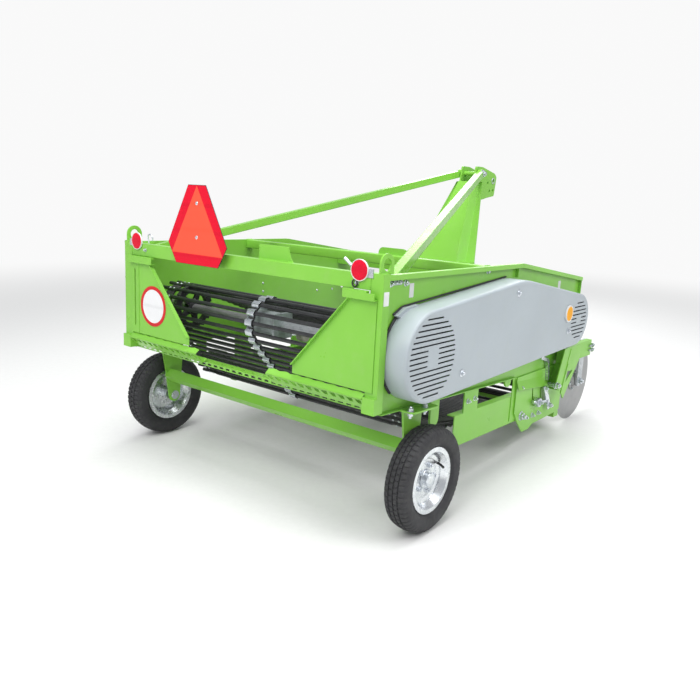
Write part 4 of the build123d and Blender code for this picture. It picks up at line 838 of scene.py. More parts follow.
def makeReflectors(x, h, radius, thick, clip, wire, ring, lips):
    shape = bmesh.new()
    r, t = radius, thick
    rim = ((0, r - 0.003), (0.002, r - 0.0004), (t - 0.002, r), (t - 0.0006, r - 0.0008), (t - 0.0004, r - 0.0026),
           (t - 0.0018, r - 0.0034))
    lens = ((0, r - 0.0032), (0.0008, r - 0.0034), (0.0018, r * 0.72), (0.0022, r * 0.4), (0.0024, 0.002))
    for hand in (-1, 1):
        lathe(shape, (hand * x, 0, h), -along, rim, 48, 0)
        lathe(shape, (hand * x, 0.0024 - t, h), -along, lens, 48, 1)
    newPiece(shape, "reflectorsRimmed", "frame", "lens_red", "pale", "lens_red", replaces="rear_reflectors")
    shape = bmesh.new()
    x1, x2, h1, h2 = clip
    uprightSlab(shape, x1, x2, h1, h2, 0, -0.004)
    uprightSlab(shape, -x2, -x1, h1, h2, 0, -0.004)
    bar(shape, ribPath((0.6625, -0.0065, 1.1148), (0.628, -0.0065, 1.140), 4), 0.0062, 14)
    bar(shape, eased(wire, 0.008), 0.0036)
    for place in ((0.688, 0, 1.052), (-0.640, 0, 1.060)):
        hexHead(shape, place, -along, 0.013, 0.006, 0, 0.0095, 0.004)
    zincPiece(shape, "reflectorBrackets")
    shape = bmesh.new()
    turns = [2 * pi * i / 20 for i in range(20)]
    loop = [(ring[0] + 0.012 * cos(turn), -0.0065, ring[1] + 0.014 * sin(turn)) for turn in turns]
    bar(shape, loop, 0.003, 8, closed=True)
    for h in (1.086, 0.909):
        profile = ((0, 0.007), (0.004, 0.007), (0.006, 0.0095), (0.013, 0.0095), (0.015, 0.007))
        lathe(shape, (-0.812, 0.016, h), -across, profile, 18)
    newPiece(shape, "blackClips", "frame", "black_plastic", "black_plastic")
    shape = bmesh.new()
    for x1, x2 in lips:
        uprightSlab(shape, x1, x2, 1.0205, 1.0285, -0.0235, 0.020)
    greenPiece(shape, "rimLips")


# Side lens and speed sign
amberSet = {"place": (0.908, 1.556, 0.818), "radius": 0.0455, "thick": 0.010}
speedSet = {"place": (-0.575, -0.0055, 0.790), "radius": 0.100, "ring": 0.017}


def makeSigns():
    shape = bmesh.new()
    (x, a, h), r, t = amberSet["place"], amberSet["radius"], amberSet["thick"]
    rim = ((0, r - 0.001), (0.0015, r), (t - 0.0025, r), (t - 0.001, r - 0.0012), (t - 0.0012, r - 0.003))
    lens = ((0, r - 0.0028), (0.0014, r - 0.0032), (0.0026, r * 0.7), (0.0030, r * 0.35), (0.0030, 0.001))
    lathe(shape, (x, a, h), across, rim, 40, 0)
    lathe(shape, (x + t - 0.003, a, h), across, lens, 40, 1)
    newPiece(shape, "amberLensRimmed", "frame", "lens_amber", "pale", "lens_amber", replaces="side_reflector")
    shape = bmesh.new()
    (x, a, h), r = speedSet["place"], speedSet["radius"]
    inner = r - speedSet["ring"]
    profile = ((-0.0010, r + 0.0003), (0.00035, r + 0.0003), (0.0005, r - 0.0006), (0.0005, inner),
               (0.0, inner - 0.0002))
    lathe(shape, (x, a - 0.00005, h), -along, profile, 72, closed=True)
    newPiece(shape, "speedRing", "frame", "marker_red", "ringRed")


# Blank labels, each as x and its box (a, a, h, h)
labelSet = {"thick": 0.0005, "places": ((0.813, 0.005, 0.0375, 0.976, 1.029), (panelX, 0.201, 0.231, 0.992, 1.049),
                                        (panelX, 1.655, 1.688, 0.924, 0.974))}


def makeLabels(thick, places):
    shape = bmesh.new()
    for x, *box in places:
        plate(shape, x, roundedBox(*box, 0.003), thick, 0.0002)
    newPiece(shape, "blankLabels", "frame", "disc_white", "pale")


# Bolts and adjusters of the cheek plates
cheekSet = {"bolts": ((1.297, 0.433, 0.019, 0.010, 0.0145, 0.008), (1.392, 0.249, 0.019, 0.010, 0.0145, 0.008),
                      (1.475, 0.244, 0.019, 0.010, 0.0145, 0.008), (1.552, 0.243, 0.019, 0.010, 0.0145, 0.008),
                      (1.334, 0.270, 0.036, 0.015, 0.026, 0.014)),
            "linkBolts": ((1.645, 0.274, 0.024, 0.012, 0.017, 0.008), (1.566, 0.386, 0.019, 0.010, 0.014, 0.006)),
            "lever": ((1.488, 0.569), (1.589, 0.540), (1.6055, 0.470), (1.612, 0.425)),
            "link": ((1.541, 0.398), (1.592, 0.388), (1.668, 0.258), (1.632, 0.248)), "eye": (1.496, 0.318),
            "slots": (((1.452, 0.402), (1.461, 0.352), (1.487, 0.306)),
                      ((1.562, 0.386), (1.560, 0.350), (1.573, 0.314)))}


def makeCheekFittings(hand, side, bolts, linkBolts, lever, link, eye, slots):
    shape = bmesh.new()
    out = across * hand
    hexHeads(shape, out, hand * 0.800, bolts)
    hexHeads(shape, out, hand * 0.825, linkBolts)
    strap(shape, hand * 0.806, eased(lever, 0.022), 0.022, 0.018)
    plate(shape, hand * 0.818, link, hand * 0.007, 0.001)
    # Threaded adjuster through its eye
    a, h = eye
    lathe(shape, (hand * 0.802, a, h), out,
          ((0, 0.024), (0.003, 0.026), (0.027, 0.026), (0.030, 0.024), (0.030, 0.013), (0, 0.013)), 32, closed=True)
    hexHead(shape, (hand * 0.800, a, h), out, 0.022, 0.040, stub=0.010)
    start, end = Vector((hand * 0.817, a - 0.060, h + 0.012)), Vector((hand * 0.817, a + 0.125, h - 0.018))
    axis, first, second = squareTo(end - start)
    skin(shape, [[point + (0.0082 if i % 2 else 0.0070) * spoke for spoke in circle(first, second, 12)]
                 for i, point in enumerate(ribPath(start, end, 92))])
    for share in (0.06, 0.20, 0.50, 0.94):
        hexHead(shape, start.lerp(end, share), axis, 0.024, 0.012)
    zincPiece(shape, "cheekFittings" + side)
    # Black strips behind the slots: painted shade where the openings would show through
    shape = bmesh.new()
    for line in slots:
        strap(shape, hand * 0.7935, eased(line, 0.03), 0.002, 0.0125)
    newPiece(shape, "slotShadeBacks" + side, "frame", "black_plastic", "black_plastic")


# Fasteners of the coulter discs' arms and of the discs' hubs
armSet = {"outer": 0.867, "pivot": (1.648, 0.392), "clamps": (0.528, 0.556), "stemX": 0.800, "hubX": (0.7635, 0.7525),
          "hubBolts": 6, "hubPitch": 0.056}


def makeArmFittings(hand, side, outer, pivot, clamps, stemX, hubX, hubBolts, hubPitch):
    shape = bmesh.new()
    out = across * hand
    disc = (machine["discA"], machine["discH"])
    hexHead(shape, (hand * 0.846, *pivot), out, 0.030, 0.014, 0, 0.021, 0.006)
    hexHead(shape, (hand * outer, 1.611, 0.403), out, 0.028, 0.016, 0, 0.019, 0.008)
    rod(shape, (hand * 0.796, *pivot), out, 0.013, 0.05, 20)
    for h in clamps:
        for x in (0.811, 0.842):
            hexHead(shape, (hand * x, 2.167, h), along, 0.017, 0.010, 0, 0.013, 0.022)
            rod(shape, (hand * x, 2.120, h), along, 0.0055, 0.049, 12)
    hexHead(shape, (hand * stemX, *disc), out, 0.034, 0.016, 0, 0.024, 0.010)
    for step in (-0.016, 0.016):
        hexHead(shape, (hand * stemX, disc[0] + step, 0.565), out, 0.017, 0.009, 0, 0.012)
    zincPiece(shape, "armFittings" + side)
    shape = bmesh.new()
    outside, within = (hand * x for x in hubX)
    for i in range(hubBolts):
        spot = arc(disc, hubPitch, radians(15 + 360 / hubBolts * i), 0, 1)[0]
        hexHead(shape, (outside, *spot), out, 0.013, 0.006, 0, 0.0085, 0.003)
        hexHead(shape, (within, *spot), -out, 0.013, 0.008, 0, 0.0085)
    lathe(shape, (within, *disc), -out, ((0, 0.040), (0.006, 0.040), (0.010, 0.036), (0.024, 0.026), (0.028, 0.018),
                                         (0.029, 0.004)), 40)
    newPiece(shape, "discHub" + side, "disc_" + side.lower(), "blade_steel", "brightZinc")


# Wheel arm bolts, hanger bolts and panel bolts
panelSet = {"hanger": ((0.758, 0.461, 0.017, 0.010, 0.013, 0.006), (0.822, 0.463, 0.017, 0.010, 0.013, 0.006)),
            "rivets": ((0.949, 0.824), (0.951, 0.773), (1.451, 0.747), (1.606, 0.745)),
            "beams": ((1.678, 0.985), (1.722, 0.985), (0.830, 1.0665)), "lowBeam": ((1.678, 0.940), (1.722, 0.940)),
            "bearing": 0.042, "shelfX": 0.838, "shelfA": (0.200, 0.306), "flange": (0.780, 1.052, (0.064, 0.172))}


def makePanelFittings(hand, side, hanger, rivets, beams, lowBeam, bearing, shelfX, shelfA, flange):
    shape = bmesh.new()
    out = across * hand
    outer, inner = hand * panelX, hand * panelInX
    hexHeads(shape, out, inner, hanger)
    for a, h in rivets:
        lathe(shape, (inner, a, h), -out, ((0, 0.0075), (0.0015, 0.0072), (0.0034, 0.0050), (0.0042, 0.0015)), 16)
    for a in shelfA:
        low = bellyHeight(a)
        hexHead(shape, (hand * shelfX, a, low), upward, 0.019, 0.011, 0, 0.015, 0.008)
        hexHead(shape, (hand * shelfX, a, low - 0.008), -upward, 0.019, 0.011, 0, 0.015, 0.010)
    outside = (0.019, 0.010, 0.0145, 0) if hand < 0 else (0.012, 0.002, 0.0145, 0)    # low inside the guard
    bolts = arc(drive, bearing, pi / 4, 7 * pi / 4, 3)
    hexHeads(shape, out, outer, [(*bolt, *outside) for bolt in bolts])
    hexHeads(shape, -out, inner - hand * 0.012, [(*bolt, 0.017, 0.009, 0.013, 0.005) for bolt in bolts])
    # Bolts that hold the cross beams and the brace's foot
    shown = (*beams, *lowBeam) if hand < 0 else beams[2:]    # only the middle beam's on the right
    hexHeads(shape, out, outer, [(*bolt, 0.017, 0.009, 0.013, 0) for bolt in shown])
    if hand < 0:
        hexHeads(shape, out, outer, [(*rivet, 0.010, 0.005, 0.0075, 0.003) for rivet in rivets])
    within, h, places = flange
    for a in places:
        hexHead(shape, (hand * within, a, h), -out, 0.019, 0.010, 0, 0.015, 0.006)
        hexHead(shape, (outer, a, h), out, 0.017, 0.009, 0, 0.013, 0.005)
    zincPiece(shape, "panelFittings" + side)


# Grease point strip under the right flange
greaseSet = {"a": 0.060, "pitch": 0.024, "count": 4, "h": 1.058}


def makeGreaseStrip(a, pitch, count, h):
    shape = bmesh.new()
    plate(shape, panelX, roundedBox(a - 0.012, a + 0.086, h - 0.010, h + 0.008), 0.003)
    nipple = ((0, 0.0042), (0.004, 0.0042), (0.006, 0.0026), (0.008, 0.0026), (0.0095, 0.0036), (0.0115, 0.0030),
              (0.012, 0.001))
    for i in range(count):
        hexHead(shape, (0.795, a + pitch * i, h), across, 0.012, 0.007, 0, 0.008)
        lathe(shape, (0.804, a + pitch * i, h), across, nipple, 14)
    zincPiece(shape, "greasePoints")


# Support rollers: ribbed nylon on steel pins
supportSet = {"radius": 0.035, "x": 0.64, "half": 0.030, "below": 0.0108, "places": ((0.790, 0.788), (1.166, 0.778))}


def makeSupportRollers(radius, x, half, below, places):
    shape = bmesh.new()
    start, end = webRuns(-below)[2][:2]
    slope = (end[1] - start[1]) / (end[0] - start[0])
    r = radius
    profile = [(-half, r - 0.016), (-half, r - 0.004), (-half + 0.003, r)]
    for i in range(5):
        rib = -0.022 + i * 0.011
        profile += [(rib - 0.0028, r), (rib - 0.0014, r - 0.0022), (rib + 0.0014, r - 0.0022), (rib + 0.0028, r)]
    profile += [(half - 0.003, r), (half, r - 0.004), (half, r - 0.016)]
    for a, endX in places:
        h = start[1] + (a - start[0]) * slope - r * hypot(1, slope)
        for hand in (-1, 1):
            lathe(shape, (hand * x, a, h), across, profile, 40, 0)
            rod(shape, (hand * x, a, h), across * hand, 0.010, endX - x, 20, 1)
            washer = ((0, 0.017), (0.003, 0.017), (0.004, 0.0155))
            lathe(shape, (hand * (x + half), a, h), across * hand, washer, 24, 1)
    newPiece(shape, "supportRollersRibbed", "frame", "nylon", "nylon", "brightZinc", replaces="support_rollers")


# Gearbox covers, splined shaft and hitch pins
gearSet = {"halfX": 0.095, "a": 1.715, "frontA": 1.805, "rearA": 1.625, "lowH": 0.690, "topH": 0.858}
splineSet = {"radius": 0.01745, "root": 0.0147, "teeth": 6,
             "stations": ((0.0, 1.0), (0.028, 1.0), (0.030, 0.86), (0.038, 0.86), (0.040, 1.0), (0.086, 1.0),
                          (0.090, 0.90))}


def makeGearboxFittings(halfX, a, frontA, rearA, lowH, topH):
    shape = bmesh.new()
    h = machine["driveH"]
    for place, axis, radius in (((halfX, a, h), across, 0.066), ((-halfX, a, h), -across, 0.066),
                                ((0, frontA, h), along, 0.062)):
        place = Vector(place)
        lathe(shape, place - axis * 0.002, axis, ((0, radius), (0.009, radius), (0.011, radius - 0.002),
                                                  (0.011, radius * 0.66), (0.007, radius * 0.62), (0.007, 0.040)), 48)
        _, first, second = squareTo(axis)
        for i in range(6):
            turn = radians(30 + 60 * i)
            spoke = (cos(turn) * first + sin(turn) * second) * radius * 0.83
            hexHead(shape, place + spoke + axis * 0.009, axis, 0.011, 0.006, 1)
    for x in (-0.045, 0.045):
        # Cast ribs under the foot
        plate(shape, x - 0.004, ((1.640, 0.856), (1.790, 0.856), (1.772, 0.902), (1.658, 0.902)), 0.008, 0.0015)
    rear = Vector((0, rearA, h + 0.005))
    cover = [rear + Vector((x, 0, z)) for x, z in roundedBox(-0.070, 0.070, -0.060, 0.060, 0.014)]
    slab(shape, cover, (0, -0.008, 0), 0, 0.0015)
    for x in (-0.058, 0.0, 0.058):
        for z in (-0.048, 0.048):
            hexHead(shape, rear + Vector((x, -0.008, z)), -along, 0.011, 0.006, 1)
    hexHead(shape, (-0.070, 1.650, topH), upward, 0.022, 0.012, 1, 0.015)
    breather = ((0, 0.008), (0.008, 0.009), (0.016, 0.009), (0.019, 0.006))
    lathe(shape, (-0.070, 1.650, topH + 0.014), upward, breather, 20, 1)
    hexHead(shape, (0.0, 1.700, lowH), -upward, 0.022, 0.010, 1, 0.015)
    for x in (-0.066, 0.066):
        for step in (-0.030, 0.030):
            hexHead(shape, (x, 1.700 + step, 0.904), -upward, 0.017, 0.009, 1, 0.013, 0.006)
    newPiece(shape, "gearboxFittings", "frame", "grey_cast", "grey_cast", "brightZinc")


def makeSplines(radius, root, teeth, stations):
    shape = bmesh.new()
    rings = []
    for step, scale in stations:
        ring = []
        for i in range(teeth * 16):
            reach = (radius if i % 16 < 8 else root) * scale
            turn = 2 * pi * i / (teeth * 16)
            ring.append((reach * cos(turn), gearSet["frontA"] + step, machine["driveH"] + reach * sin(turn)))
        rings.append(ring)
    skin(shape, rings)
    newPiece(shape, "splinedShaft", "frame", "zinc_plank", "blade_steel", sharp=30, replaces="pto_shaft")


hitchSet = {"x": 0.412, "end": 0.530, "a": 2.000, "h": 0.870, "radius": 0.0146}


def makeHitchPins(hand, side, x, end, a, h, radius):
    shape = bmesh.new()
    out = across * hand
    root = Vector((hand * x, a, h))
    long = end - x
    lathe(shape, root, out, ((0, 0.025), (0.009, 0.025), (0.011, 0.023), (0.011, radius), (long - 0.004, radius),
                             (long - 0.0002, 0.0115)), 32)
    pinAt = root + out * (long - 0.022)
    lathe(shape, pinAt - upward * 0.026, upward, ((0, 0.004), (0.002, 0.005), (0.044, 0.005), (0.046, 0.009),
                                                  (0.056, 0.009), (0.058, 0.007)), 16)
    ring = [pinAt + Vector((hand * 0.010 * sin(pi * i / 28), 0.019 * sin(2 * pi * i / 28) + 0.004,
                            0.006 + 0.024 * cos(2 * pi * i / 28))) for i in range(28)]
    bar(shape, ring, 0.0019, 8, closed=True)
    hexHead(shape, (hand * 0.400, a, h), -out, 0.036, 0.016, 0, 0.026, 0.010)
    zincPiece(shape, "hitchPin" + side)


# Top of the tower: nuts on the brace pin, bushes in the ears
towerSet = {"pin": (1.985, 1.550), "link": (2.185, 1.515)}


def makeTowerFittings(pin, link):
    shape = bmesh.new()
    bush = ((0, 0.0195), (0.0035, 0.0195), (0.0045, 0.0185), (0.0045, 0.0134), (0, 0.0134))
    for hand in (-1, 1):
        hexHead(shape, (hand * 0.0845, *pin), across * hand, 0.034, 0.014, 0, 0.025, 0.010)
        lathe(shape, (hand * 0.0535, *link), across * hand, bush, 32, closed=True)
    zincPiece(shape, "towerFittings")


# Weld beads on both sides, each as x, a, h of its start and of its end, then those in the middle
weldSet = {"size": 0.0032, "pairs": (
    (0.7965, 0.002, 1.0960, 0.7965, 0.082, 1.0960),      # lifting eyes
    (0.760, -0.0005, 0.6205, 0.806, -0.0005, 0.6205),
    (0.7525, 0.000, 1.031, 0.7525, 0.000, 1.089),        # rear beam to the posts
    (0.7525, 0.040, 1.031, 0.7525, 0.040, 1.089),
    (0.7885, 0.231, 0.383, 0.7885, 0.254, 0.395),
    (0.867, 1.676, 0.372, 0.867, 1.764, 0.592),          # coulter arms
    (0.8005, 1.672, 0.366, 0.8005, 1.764, 0.596),
    (0.812, 1.746, 0.870, 0.812, 1.746, 0.885),
    (0.412, 1.7455, 0.922, 0.412, 1.7455, 1.004),        # hitch cheeks to the front beam
    (0.400, 1.7455, 0.922, 0.400, 1.7455, 1.004),
    (0.0445, 1.930, 1.440, 0.0445, 1.930, 1.500),
    (0.210, 1.668, 1.0165, 0.150, 1.668, 1.0165),
    (0.788, 1.655, 1.0085, 0.788, 1.742, 1.0085),        # front beam to the panels
    (0.788, 0.806, 1.0910, 0.788, 0.854, 1.0910),
    (0.754, 0.100, 1.0325, 0.754, 0.140, 1.0325),
    (0.853, 1.905, 0.5075, 0.806, 1.905, 0.5075),
), "single": (
    (-0.130, 1.662, 1.0165, 0.130, 1.662, 1.0165),
    (-0.225, -0.0062, 1.040, -0.191, -0.0062, 1.040),
    (0.120, 0.0355, 1.0905, 0.318, 0.0355, 1.0905))}


def makeWelds(size, pairs, single):
    shape = bmesh.new()
    runs = [(hand * x1, a1, h1, hand * x2, a2, h2) for hand in (-1, 1) for x1, a1, h1, x2, a2, h2 in pairs]
    for seed, run in enumerate([*runs, *single], 11):
        weldBead(shape, run[:3], run[3:], size, seed)
    greenPiece(shape, "weldBeads", sharp=60)


# Drive guard: pressed shell with a rounded edge; louvres as middle, reach and the plain part's half sizes
shellSet = {"frontA": 1.715, "rearR": 0.188, "frontR": 0.142, "apex": (1.0094, 1.0305), "panel": 0.795,
            "face": 0.908, "round": 0.011, "wall": 0.003, "rim": 0.005, "slot": 0.0065, "pitch": 0.021,
            "louvres": ((0.2284, 0.165, 0.042, 0.038), (1.715, 0.106, 0.030, 0.030)),
            "flange": ((0.240, 0.9655), (0.153, 0.9585), (0.097, 0.932), (0.122, 0.921)),
            "flangeTurn": (124.0, 88.0), "flangeR": 0.180}


def tangentAngle(apex, centre, radius, turn):
    # Direction from a circle's centre to where a line from the apex touches it
    away = apex - centre
    return atan2(away.y, away.x) + turn * acos(radius / away.length)


def guardLine(inset):
    # Outline of the guard as (a, h), set in evenly
    rear, front = Vector(drive), Vector((shellSet["frontA"], machine["driveH"]))
    rearR, frontR = shellSet["rearR"] - inset, shellSet["frontR"] - inset
    apex = Vector((shellSet["apex"][0], shellSet["apex"][1] - inset))
    lowTurn = asin((rearR - frontR) / (front.x - rear.x)) - pi / 2
    foot = Vector((cos(lowTurn), sin(lowTurn)))
    line = ribPath(rear + rearR * foot, front + frontR * foot, 30)
    line += [Vector(point) for point in arc(front, frontR, lowTurn, tangentAngle(apex, front, frontR, -1), 40)[1:]]
    rearTop = tangentAngle(apex, rear, rearR, 1)
    rearStart = rear + rearR * Vector((cos(rearTop), sin(rearTop)))
    ridge = eased([line[-1], apex, rearStart], 0.07, 8)[1:-1]
    line += ribPath(line[-1], ridge[0], 12)[1:-1] + ridge + ribPath(ridge[-1], rearStart, 20)[1:]
    return line + [Vector(point) for point in arc(rear, rearR, rearTop, 2 * pi + lowTurn, 61)[1:-1]]


def slotOutline(a1, a2, h, half):
    return arc((a2 - half, h), half, -pi / 2, pi / 2, 4) + arc((a1 + half, h), half, pi / 2, 3 * pi / 2, 4)


def inside(point, outline):
    hit = False
    for first, second in zip(outline, outline[1:] + outline[:1]):
        if (first.y > point.y) != (second.y > point.y):
            if point.x < first.x + (point.y - first.y) / (second.y - first.y) * (second.x - first.x):
                hit = not hit
    return hit


def perforated(shape, outline, holes, lay, lift):
    # Flat sheet with openings: outline and holes in the plane, lay puts a plane point in space
    outline, *holes = loops = [[Vector(point) for point in loop] for loop in (outline, *holes)]
    points, edges = [], []
    for loop in loops:
        first = len(points)
        points += loop
        edges += [(first + i, first + (i + 1) % len(loop)) for i in range(len(loop))]
    flat, _, triangles, sources = delaunay_2d_cdt(points, edges, [], 0, 1e-7)[:4]
    near = [shape.verts.new(lay(point.x, point.y)) for point in flat]
    far = [shape.verts.new(Vector(lay(point.x, point.y)) + Vector(lift)) for point in flat]
    bounds = [(loop, min(p.x for p in loop), max(p.x for p in loop), min(p.y for p in loop), max(p.y for p in loop))
              for loop in holes]
    for triangle in triangles:
        first, second, third = (flat[i] for i in triangle)
        middle = (first + second + third) / 3
        thin = abs((second - first).cross(third - first)) < 4e-8
        cut = thin or any(u1 < middle.x < u2 and v1 < middle.y < v2 and inside(middle, loop)
                          for loop, u1, u2, v1, v2 in bounds)
        if inside(middle, outline) and not cut:
            shape.faces.new([near[i] for i in triangle])
            shape.faces.new([far[i] for i in reversed(triangle)])
    where = {source: i for i, group in enumerate(sources) for source in group}
    for first, second in edges:
        first, second = where[first], where[second]
        shape.faces.new((near[first], far[first], far[second], near[second]))


def makeGuardShell():
    shape = bmesh.new()
    panel, face, edge, wall = (shellSet[key] for key in ("panel", "face", "round", "wall"))
    inner = edge + shellSet["rim"]
    stations = [(panel, 0.0)]
    for step in range(7):
        turn = pi / 2 * step / 6    # rounded edge
        stations.append((face - edge + edge * sin(turn), edge * (1 - cos(turn))))
    stations += [(face, inner), (face - wall, inner), (face - wall, edge), (face - edge, wall), (panel, wall)]
    skin(shape, [[(x, p.x, p.y) for p in guardLine(inset)] for x, inset in stations], 0, True)
    flange = [*shellSet["flange"], *arc(drive, shellSet["flangeR"], *map(radians, shellSet["flangeTurn"]), 8)]
    plate(shape, panel - 0.001, flange, 0.020, 0.002)
    slots = []
    for midA, reachOut, plainHigh, plainHalf in shellSet["louvres"]:
        number = round(2 * reachOut / shellSet["pitch"])
        pitch = 2 * reachOut / number
        for row in range(number):
            up = (row - (number - 1) / 2) * pitch
            half = sqrt(reachOut * reachOut - up * up)
            ends = ((-half, half),) if abs(up) > plainHigh else ((-half, -plainHalf), (plainHalf, half))
            h = machine["driveH"] + up
            slots += [slotOutline(midA + a1, midA + a2, h, shellSet["slot"] / 2) for a1, a2 in ends]
    perforated(shape, guardLine(inner), slots, lambda a, h: (face, a, h), (-wall, 0, 0))
    for a, h in guardSet["studs"]:
        rod(shape, (panelX, a, h), across, 0.009, face - panelX - wall, 16)
    newPiece(shape, "driveGuardShell", "frame", "guard_grey", "guard_grey", sharp=32, replaces="drive_guard")


# Steps: slanted tread, toothed face falling under the deflector, lip at the bottom
stepSet = {"inner": 0.232, "outer": 0.753,
           "profile": ((0.003, 0.629), (-0.0180, 0.6125), (0.028, 0.566), (0.050, 0.583)),
           "sheet": 0.003, "count": 12, "tooth": (0.007, 0.036, 0.0155, 0.009), "wave": 0.005}


def makeStep(hand, side, inner, outer, profile, sheet, count, tooth, wave):
    shape = bmesh.new()
    back, front, low, nose = (Vector((0, a, h)) for a, h in profile)
    pitch = (outer - inner) / count

    def strip(start, end, holes=(), top=((inner, 0), (outer, 0))):
        run = (end - start).normalized()
        long = (end - start).length
        perforated(shape, [*top, (outer, long), (inner, long)], holes,
                   lambda u, v: start + across * hand * u + run * v, run.cross(across) * sheet)

    wavy = []
    for i in range(count * 8 + 1):
        u = inner + (outer - inner) * i / (count * 8)
        wavy.append((u, -wave * (0.5 - 0.5 * cos(4 * pi * (u - inner) / (3 * pitch)))))
    strip(back, front, (), wavy)
    top, bottom, halfTop, halfLow = tooth
    middles = [inner + pitch * (i + 0.5) for i in range(count)]
    strip(front, low, [[(u - halfTop, top), (u + halfTop, top), (u + halfLow, bottom), (u - halfLow, bottom)]
                       for u in middles])
    strip(low, nose)
    for line in (front, low):
        bar(shape, [(hand * inner, line.y, line.z), (hand * outer, line.y, line.z)], 0.0026)
    greenPiece(shape, "stepToothed" + side, replaces="step_" + side.lower())


# Wheel arms: plate with a round foot, shelf above, stub axle
wheelArmSet = {"x": 0.790, "thick": 0.010, "rear": 0.206, "front": 0.348, "hubR": 0.036, "shelf": (0.185, 0.382),
               "shelfOut": 0.862, "shelfThick": 0.008, "stub": 0.015, "stubEnd": 0.879}


def bellyHeight(a):
    return 0.545 - 0.045 * (a - 0.040) / 1.175


def makeWheelArm(hand, side, x, thick, rear, front, hubR, shelf, shelfOut, shelfThick, stub, stubEnd):
    shape = bmesh.new()
    out = across * hand
    axle = (machine["axleA"], machine["axleH"])
    outline = [(front, bellyHeight(front) - 0.004), (rear, bellyHeight(rear) - 0.004),
               *arc(axle, hubR, radians(188), radians(352), 12)]
    plate(shape, hand * x, outline, hand * thick, 0.001)
    a1, a2 = shelf
    corners = roundedBox(a1, a2, x - 0.02, shelfOut, 0.018)
    slab(shape, [(hand * max(reachX, x), a, bellyHeight(a)) for a, reachX in corners], upward * -shelfThick, 0, 0.001)
    rod(shape, (hand * x, *axle), out, stub, stubEnd - x, 24, 1)
    lathe(shape, (hand * x, *axle), -out, ((0, 0.024), (0.006, 0.024), (0.008, 0.022)), 28, 1)
    high, weldX = bellyHeight(a1), hand * (x + 0.0105)
    weldBead(shape, (weldX, rear + 0.004, high - 0.011), (weldX, front - 0.004, high - 0.0165), 0.0032, 5)
    greenPiece(shape, "wheelArm" + side, "brightZinc", replaces="wheel_arm_" + side.lower())


# Middle cross beam with its rounded plate
midBeamSet = {"a": 0.830, "h": 1.0665, "half": 0.024, "wall": 0.004, "plateX": 0.255, "plateHalf": 0.090,
              "rise": 0.036, "corner": 0.028}


def makeMiddleBeam(a, h, half, wall, plateX, plateHalf, rise, corner):
    shape = bmesh.new()
    section = roundedBox(a - half, a + half, h - half, h + half, 0.005)
    inner = roundedBox(a - half + wall, a + half - wall, h - half + wall, h + half - wall, 0.003)
    skin(shape, [[(x, *point) for point in line] for x, line in
                 ((-panelInX, section), (panelInX, section), (panelInX, inner), (-panelInX, inner))], 0, True)
    top, side = h + half, plateHalf - corner
    outline = [(plateX + plateHalf, top - 0.002), *arc((plateX + side, top + rise - corner), corner, 0, pi / 2, 6),
               *arc((plateX - side, top + rise - corner), corner, pi / 2, pi, 6), (plateX - plateHalf, top - 0.002)]
    slab(shape, [(x, a, z) for x, z in outline], (0, wall, 0), 0, 0.0006)
    weldBead(shape, (plateX - 0.085, a - 0.001, top), (plateX + 0.085, a - 0.001, top), 0.003, 8)
    greenPiece(shape, "middleBeamRounded", replaces="middle_beam")


# Rear web shaft: spoked star wheels and the grooved pulley
shaftSet = {"radius": 0.020, "wheels": (-0.560, 0.560), "wheelThick": 0.024, "wheelIn": 0.082, "spokes": 5,
            "pulleyX": 0.850, "pulleyR": 0.165, "pulleyThick": 0.040}


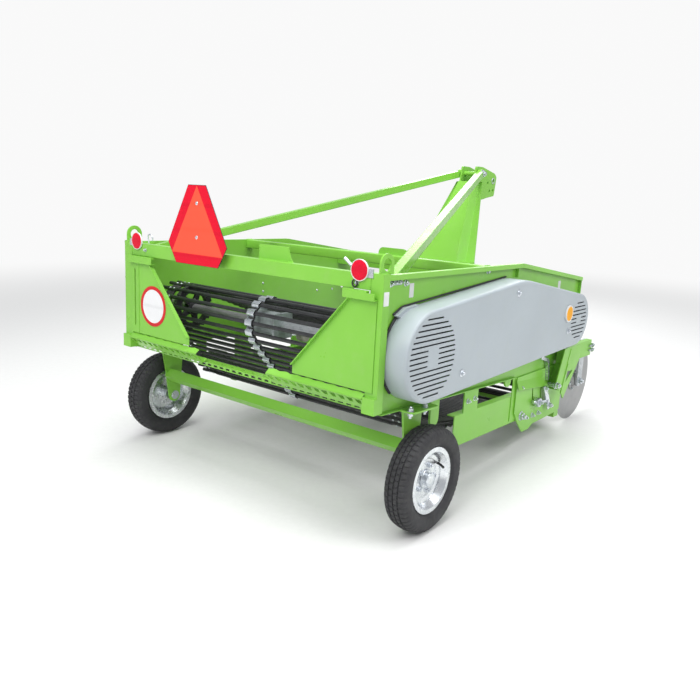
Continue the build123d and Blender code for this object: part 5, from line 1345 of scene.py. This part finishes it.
def makeRearShaft(radius, wheels, wheelThick, wheelIn, spokes, pulleyX, pulleyR, pulleyThick):
    shape = bmesh.new()
    a, h = drive
    teeth, per = webSet["teeth"], 24
    rod(shape, (-panelInX, a, h), across, radius, pulleyX + 0.020 + panelInX, 28, 1)
    nearest = min(rods, key=lambda bar: abs(atan2(bar[1] - h, bar[0] - a) - pi * 0.99))
    first = atan2(nearest[1] - h, nearest[0] - a)
    pocket = webSet["rod"] + 0.002
    corners = ((1, 1), (-1, 1), (-1, -1), (1, -1))
    for wheelX in wheels:
        middle = Vector((wheelX, a, h))
        outer, inner = [], []
        for i in range(teeth * per):
            turn = first + 2 * pi * i / (teeth * per)
            off = min(i % per, per - i % per) / per * 2 * pi / teeth * pitchR
            deep = pitchR + 0.0035 - 0.2 * max(0, off - 0.016)
            if off < pocket:
                deep = pitchR - sqrt(pocket * pocket - off * off)
            outer.append(spokeAt(turn) * deep)
            inner.append(spokeAt(turn) * wheelIn)
        skin(shape, [[middle + across * x * wheelThick + point for point in line] for x, line in
                     ((-0.5, outer), (0.5, outer), (0.5, inner), (-0.5, inner))], 0, True)
        for i in range(spokes):
            turn = first + pi / spokes + 2 * pi * i / spokes
            spoke, tangent = spokeAt(turn), Vector((0, -sin(turn), cos(turn)))
            skin(shape, [[middle + spoke * far + tangent * wide * u + across * 0.008 * v for u, v in corners]
                         for far, wide in ((0.036, 0.015), (0.086, 0.010))])
        lathe(shape, (wheelX - 0.022, a, h), across, ((0, 0.036), (0.002, 0.040), (0.042, 0.040), (0.044, 0.036)), 32)
        hexHead(shape, (wheelX + 0.014, a, h + 0.039), upward, 0.010, 0.006, 1)
    r, half = pulleyR, pulleyThick / 2
    groove = [(0.006, r - 0.028), (0.006, 0.050), (half, 0.045), (half, 0.024)]
    rim = [(half - 0.003, r), (half, r - 0.001), (half, r - 0.022)] + groove
    lathe(shape, (pulleyX, a, h), across, [(-x, out) for x, out in reversed(rim)] + rim, 72)
    hexHead(shape, (pulleyX + half, a, h), across, 0.030, 0.012, 1, 0.024)
    newPiece(shape, "rearWebShaftSpoked", "frame", "black_steel", "black_steel", "blade_steel",
             replaces="rear_web_shaft")


makeGuardFittings(**guardSet)
makeGuardShell()
makeMiddleBeam(**midBeamSet)
makeRearShaft(**shaftSet)
makeMarker(**markerSet)
makeReflectors(**reflectorSet)
makeSigns()
makeLabels(**labelSet)
makeGreaseStrip(**greaseSet)
makeSupportRollers(**supportSet)
makeGearboxFittings(**gearSet)
makeSplines(**splineSet)
makeTowerFittings(**towerSet)
for hand, side in bothSides:
    makeCheekFittings(hand, side, **cheekSet)
    makeArmFittings(hand, side, **armSet)
    makePanelFittings(hand, side, **panelSet)
    makeHitchPins(hand, side, **hitchSet)
    makeWheelArm(hand, side, **wheelArmSet)
    makeStep(hand, side, **stepSet)
makeWelds(**weldSet)
print("fittings, signs and welds made")
